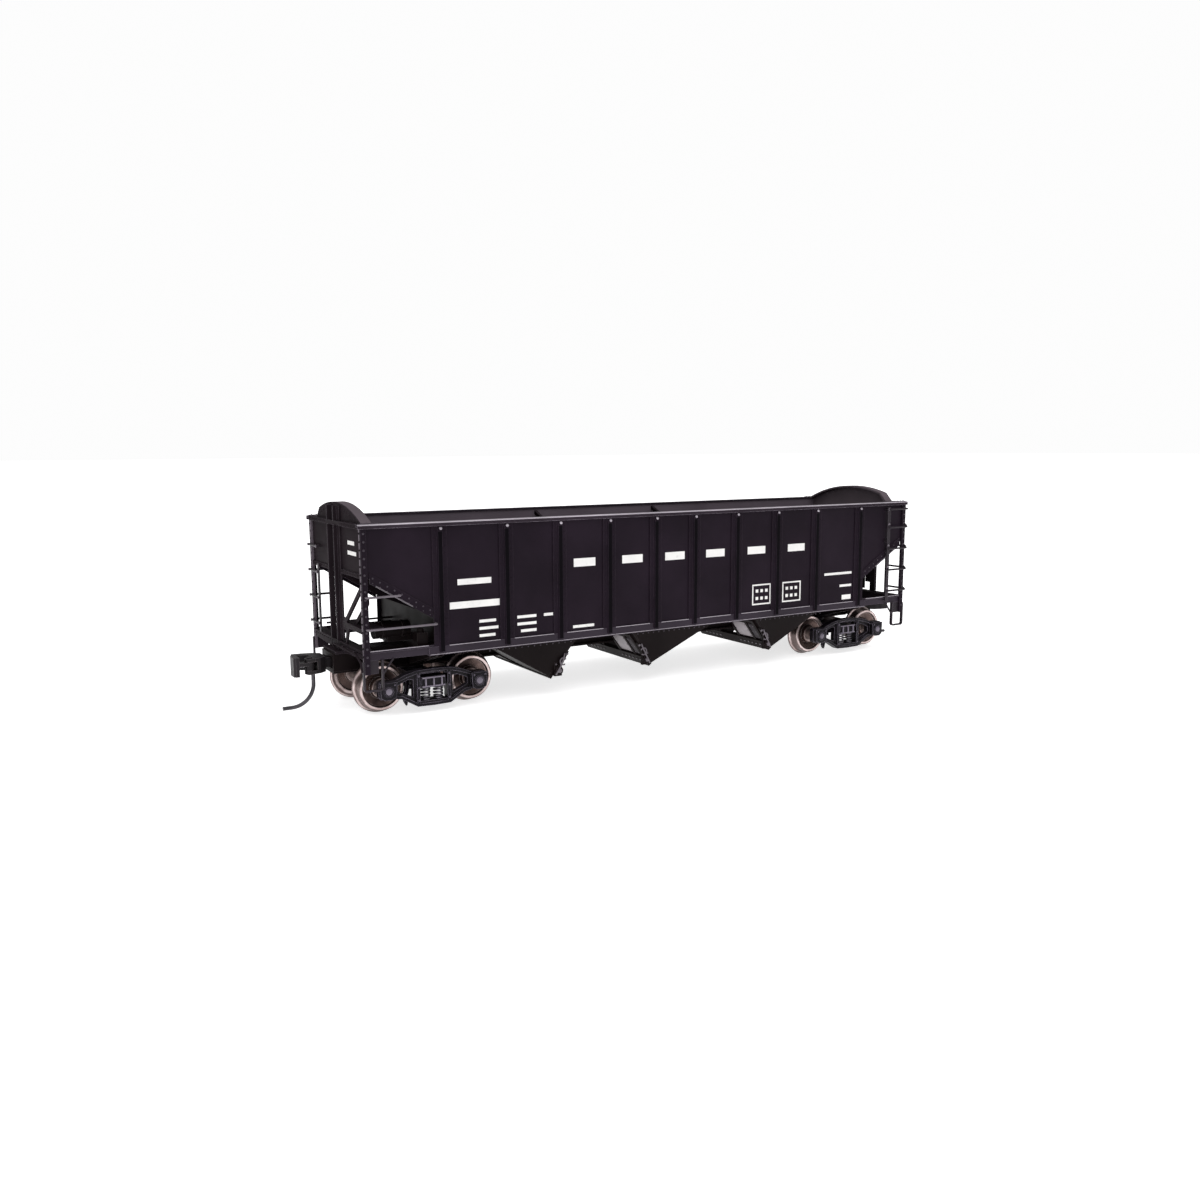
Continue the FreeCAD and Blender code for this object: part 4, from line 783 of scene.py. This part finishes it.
def door_reflection_panels():
    """Pressed panels between the door bars, the inner ones in light paint as a painted reflection
    of the floor, with three pairs of studs, and bolts at the foot.
    """
    panels, outer_panels, studs = Piece(), Piece(), Piece()
    for tip_x, door_x in BAYS:
        place, out = door_place(tip_x, door_x)
        outline = [place(*corner) for corner in PANEL_SECTION]
        for s in (-1, 1):
            for panel, y0, y1 in ((panels, 4.5, 9.7), (outer_panels, 10.9, 12.9)):
                panel.prism(outline, s * y0, s * y1)
                for along in (3.3, 5.2, 7.0):
                    for y in (y0 + 0.4, y1 - 0.4):
                        x, z = place(along, 0.62)
                        studs.rivet((x, s * y, z), out, 0.17, 0.11)
            for y in spaced(4.2, 13.2, 1.5):
                x, z = place(1.2, 0.95)
                studs.bolt((x, s * y, z), out, 0.24, 0.16)
    panels.finish("door_reflection_panels", PANEL_REFLECTION_PAINT, "car_body", "body_black")
    outer_panels.finish("door_outer_panels", LADDER_PAINT, "car_body", "body_black")
    # Studs and bolts in light paint: painted highlights.
    studs.finish("door_studs", LOCK_HIGHLIGHT_PAINT, "car_body", "body_black")


def door_wings():
    """Tapered plates that close the wedge between each door's edge and the leaning wall."""
    piece = Piece()
    for tip_x, door_x in BAYS:
        place, _ = door_place(tip_x, door_x)
        for s in (-1, 1):
            faces = []
            for off in (0.02, 0.3):
                spots = [(place(along, off), y) for along, y in WING_OUTLINE]
                faces.append([(x, s * y, z) for (x, z), y in spots])
            piece.slab(*faces)
    piece.finish("door_wings", UNDER_PAINT, "car_body", "body_black")


def lock_details():
    """Cam bolts, hook loops and wedge keys of the door locks, in light paint as painted highlights.
    """
    piece = Piece()
    steps = 12
    for tip_x, door_x in BAYS:
        way = facing(tip_x, door_x)
        x = tip_x + way * 2.1
        for s in (-1, 1):
            out = (0, s, 0)
            piece.bolt((x, s * 15.2, 5.6), out, 0.5, 0.34)
            piece.bolt((x + way * 2.0, s * 15.0, 9.1), out, 0.3, 0.26)
            for z in (4.75, 6.95):
                piece.rivet((x - way * 0.5, s * 14.6, z), out, 0.24, 0.18)
            loop = []
            for i in range(steps + 1):
                turn = math.pi * (0.15 + 1.55 * i / steps)
                loop.append((x + way * (0.9 + 0.75 * math.cos(turn)), s * 15.25,
                             7.6 + 0.8 * math.sin(turn)))
            piece.tube(loop, 0.16)
            rod = ((-0.9, 15.1, 4.7), (0.1, 15.35, 6.4), (1.0, 15.3, 8.2), (1.4, 15.1, 9.3))
            piece.tube([(x + way * dx, s * y, z) for dx, y, z in rod], 0.18)
    piece.finish("lock_details", LOCK_HIGHLIGHT_PAINT, "car_body", "body_black")


def chute_rivets():
    """A row of small rivets, in light paint as painted highlights, along the top of each chute's
    side walls.
    """
    piece = Piece()
    z = 11.85
    wall_y = CHUTE_Y - (BAY_TOP - z) * CHUTE_LEAN
    for x0, x1 in ((-46.0, -26.6), (-9.2, 9.4), (26.6, 46.0)):
        for s in (-1, 1):
            for x in spaced(x0, x1, 1.45):
                piece.rivet((x, s * wall_y, z), (0, s, -CHUTE_LEAN), 0.17, 0.11)
    piece.finish("chute_rivets", RIVET_HIGHLIGHT_PAINT, "car_body", "body_black")


dress_frame()
side_rivets()
end_rivets()
chord_corner_plates()
markings()
spring_coils()
frame_detail()
knuckle_springs()
ladder_bolts()
post_ridge_shade()
post_cap_highlights()
slope_lip_highlights()
edge_highlight_beads()
door_reflection_panels()
door_wings()
lock_details()
chute_rivets()


# ---------------------------------------------------------------- floor, light and camera
def pale_floor():
    """Plain pale floor that glows a little, so that the car's shadow stays faint."""
    n = Nodes("pale_floor")
    tone = n.mix(n.noise(3.0, 2.0), rgb(0.93, 0.93, 0.935), rgb(0.95, 0.95, 0.955))
    n.set(Base_Color=tone, Roughness=0.7, Specular_IOR_Level=0.2,
          Emission_Color=rgb(1.0, 1.0, 1.0), Emission_Strength=0.7)
    mesh = bpy.data.meshes.new("floor")
    size = 6.0
    corners = [(-size, -size, 0), (size, -size, 0), (size, size, 0), (-size, size, 0)]
    mesh.from_pydata(corners, [], [(0, 1, 2, 3)])
    mesh.materials.append(n.material)
    floor = put_in_scene("floor", mesh)
    floor.location.z = -0.00001     # just clear of the wheel flanges


def lamp(name, kind, strength, aim, place=(0, 0, 0)):
    light = bpy.data.lights.new(name, kind)
    light.energy = strength
    obj = put_in_scene(name, light)
    obj.location = place
    obj.rotation_euler = Vector(aim).to_track_quat("-Z", "Y").to_euler()
    return light


def studio():
    """Even white surroundings: dimmer as a light than they look behind the car."""
    world = bpy.data.worlds.new("studio")
    bpy.context.scene.world = world
    world.use_nodes = True
    tree = world.node_tree
    back = tree.nodes["Background"]
    back.inputs["Color"].default_value = rgb(1.0, 1.0, 1.0)
    seen = tree.nodes.new("ShaderNodeLightPath").outputs["Is Camera Ray"]
    strength = tree.nodes.new("ShaderNodeMapRange")
    strength.inputs["To Min"].default_value = 0.42
    strength.inputs["To Max"].default_value = 0.98
    tree.links.new(seen, strength.inputs["Value"])
    tree.links.new(strength.outputs["Result"], back.inputs["Strength"])

    overhead = lamp("overhead_sun", "SUN", 1.55, (0.12, 0.25, -1.0))
    overhead.angle = math.radians(70.0)
    place = Vector((-0.3, -0.6, 0.3))
    front = lamp("front", "AREA", 0.5, Vector((0, 0, 0.02)) - place, place)
    front.shape = "RECTANGLE"
    front.size, front.size_y = 0.5, 0.35
    front.color = (1.0, 0.97, 1.0)
    bpy.context.scene.view_settings.view_transform = "Standard"


def camera():
    data = bpy.data.cameras.new("camera")
    data.lens = 31.227
    data.sensor_width = 36.0
    data.clip_start = 0.01
    cam = put_in_scene("camera", data)
    place = (-0.136298, -0.210089, 0.053549)
    yaw, pitch, roll = 0.542, 0.145, -0.005     # radians; yaw from +Y towards +X, pitch down
    forward = Vector((math.sin(yaw) * math.cos(pitch), math.cos(yaw) * math.cos(pitch),
                      -math.sin(pitch)))
    right = Vector((math.cos(yaw), -math.sin(yaw), 0))
    up = right.cross(forward)
    right, up = (right * math.cos(roll) + up * math.sin(roll),
                 up * math.cos(roll) - right * math.sin(roll))
    turn = Matrix((right, up, -forward)).transposed().to_4x4()
    cam.matrix_world = Matrix.Translation(place) @ turn
    bpy.context.scene.camera = cam


pale_floor()
studio()
camera()
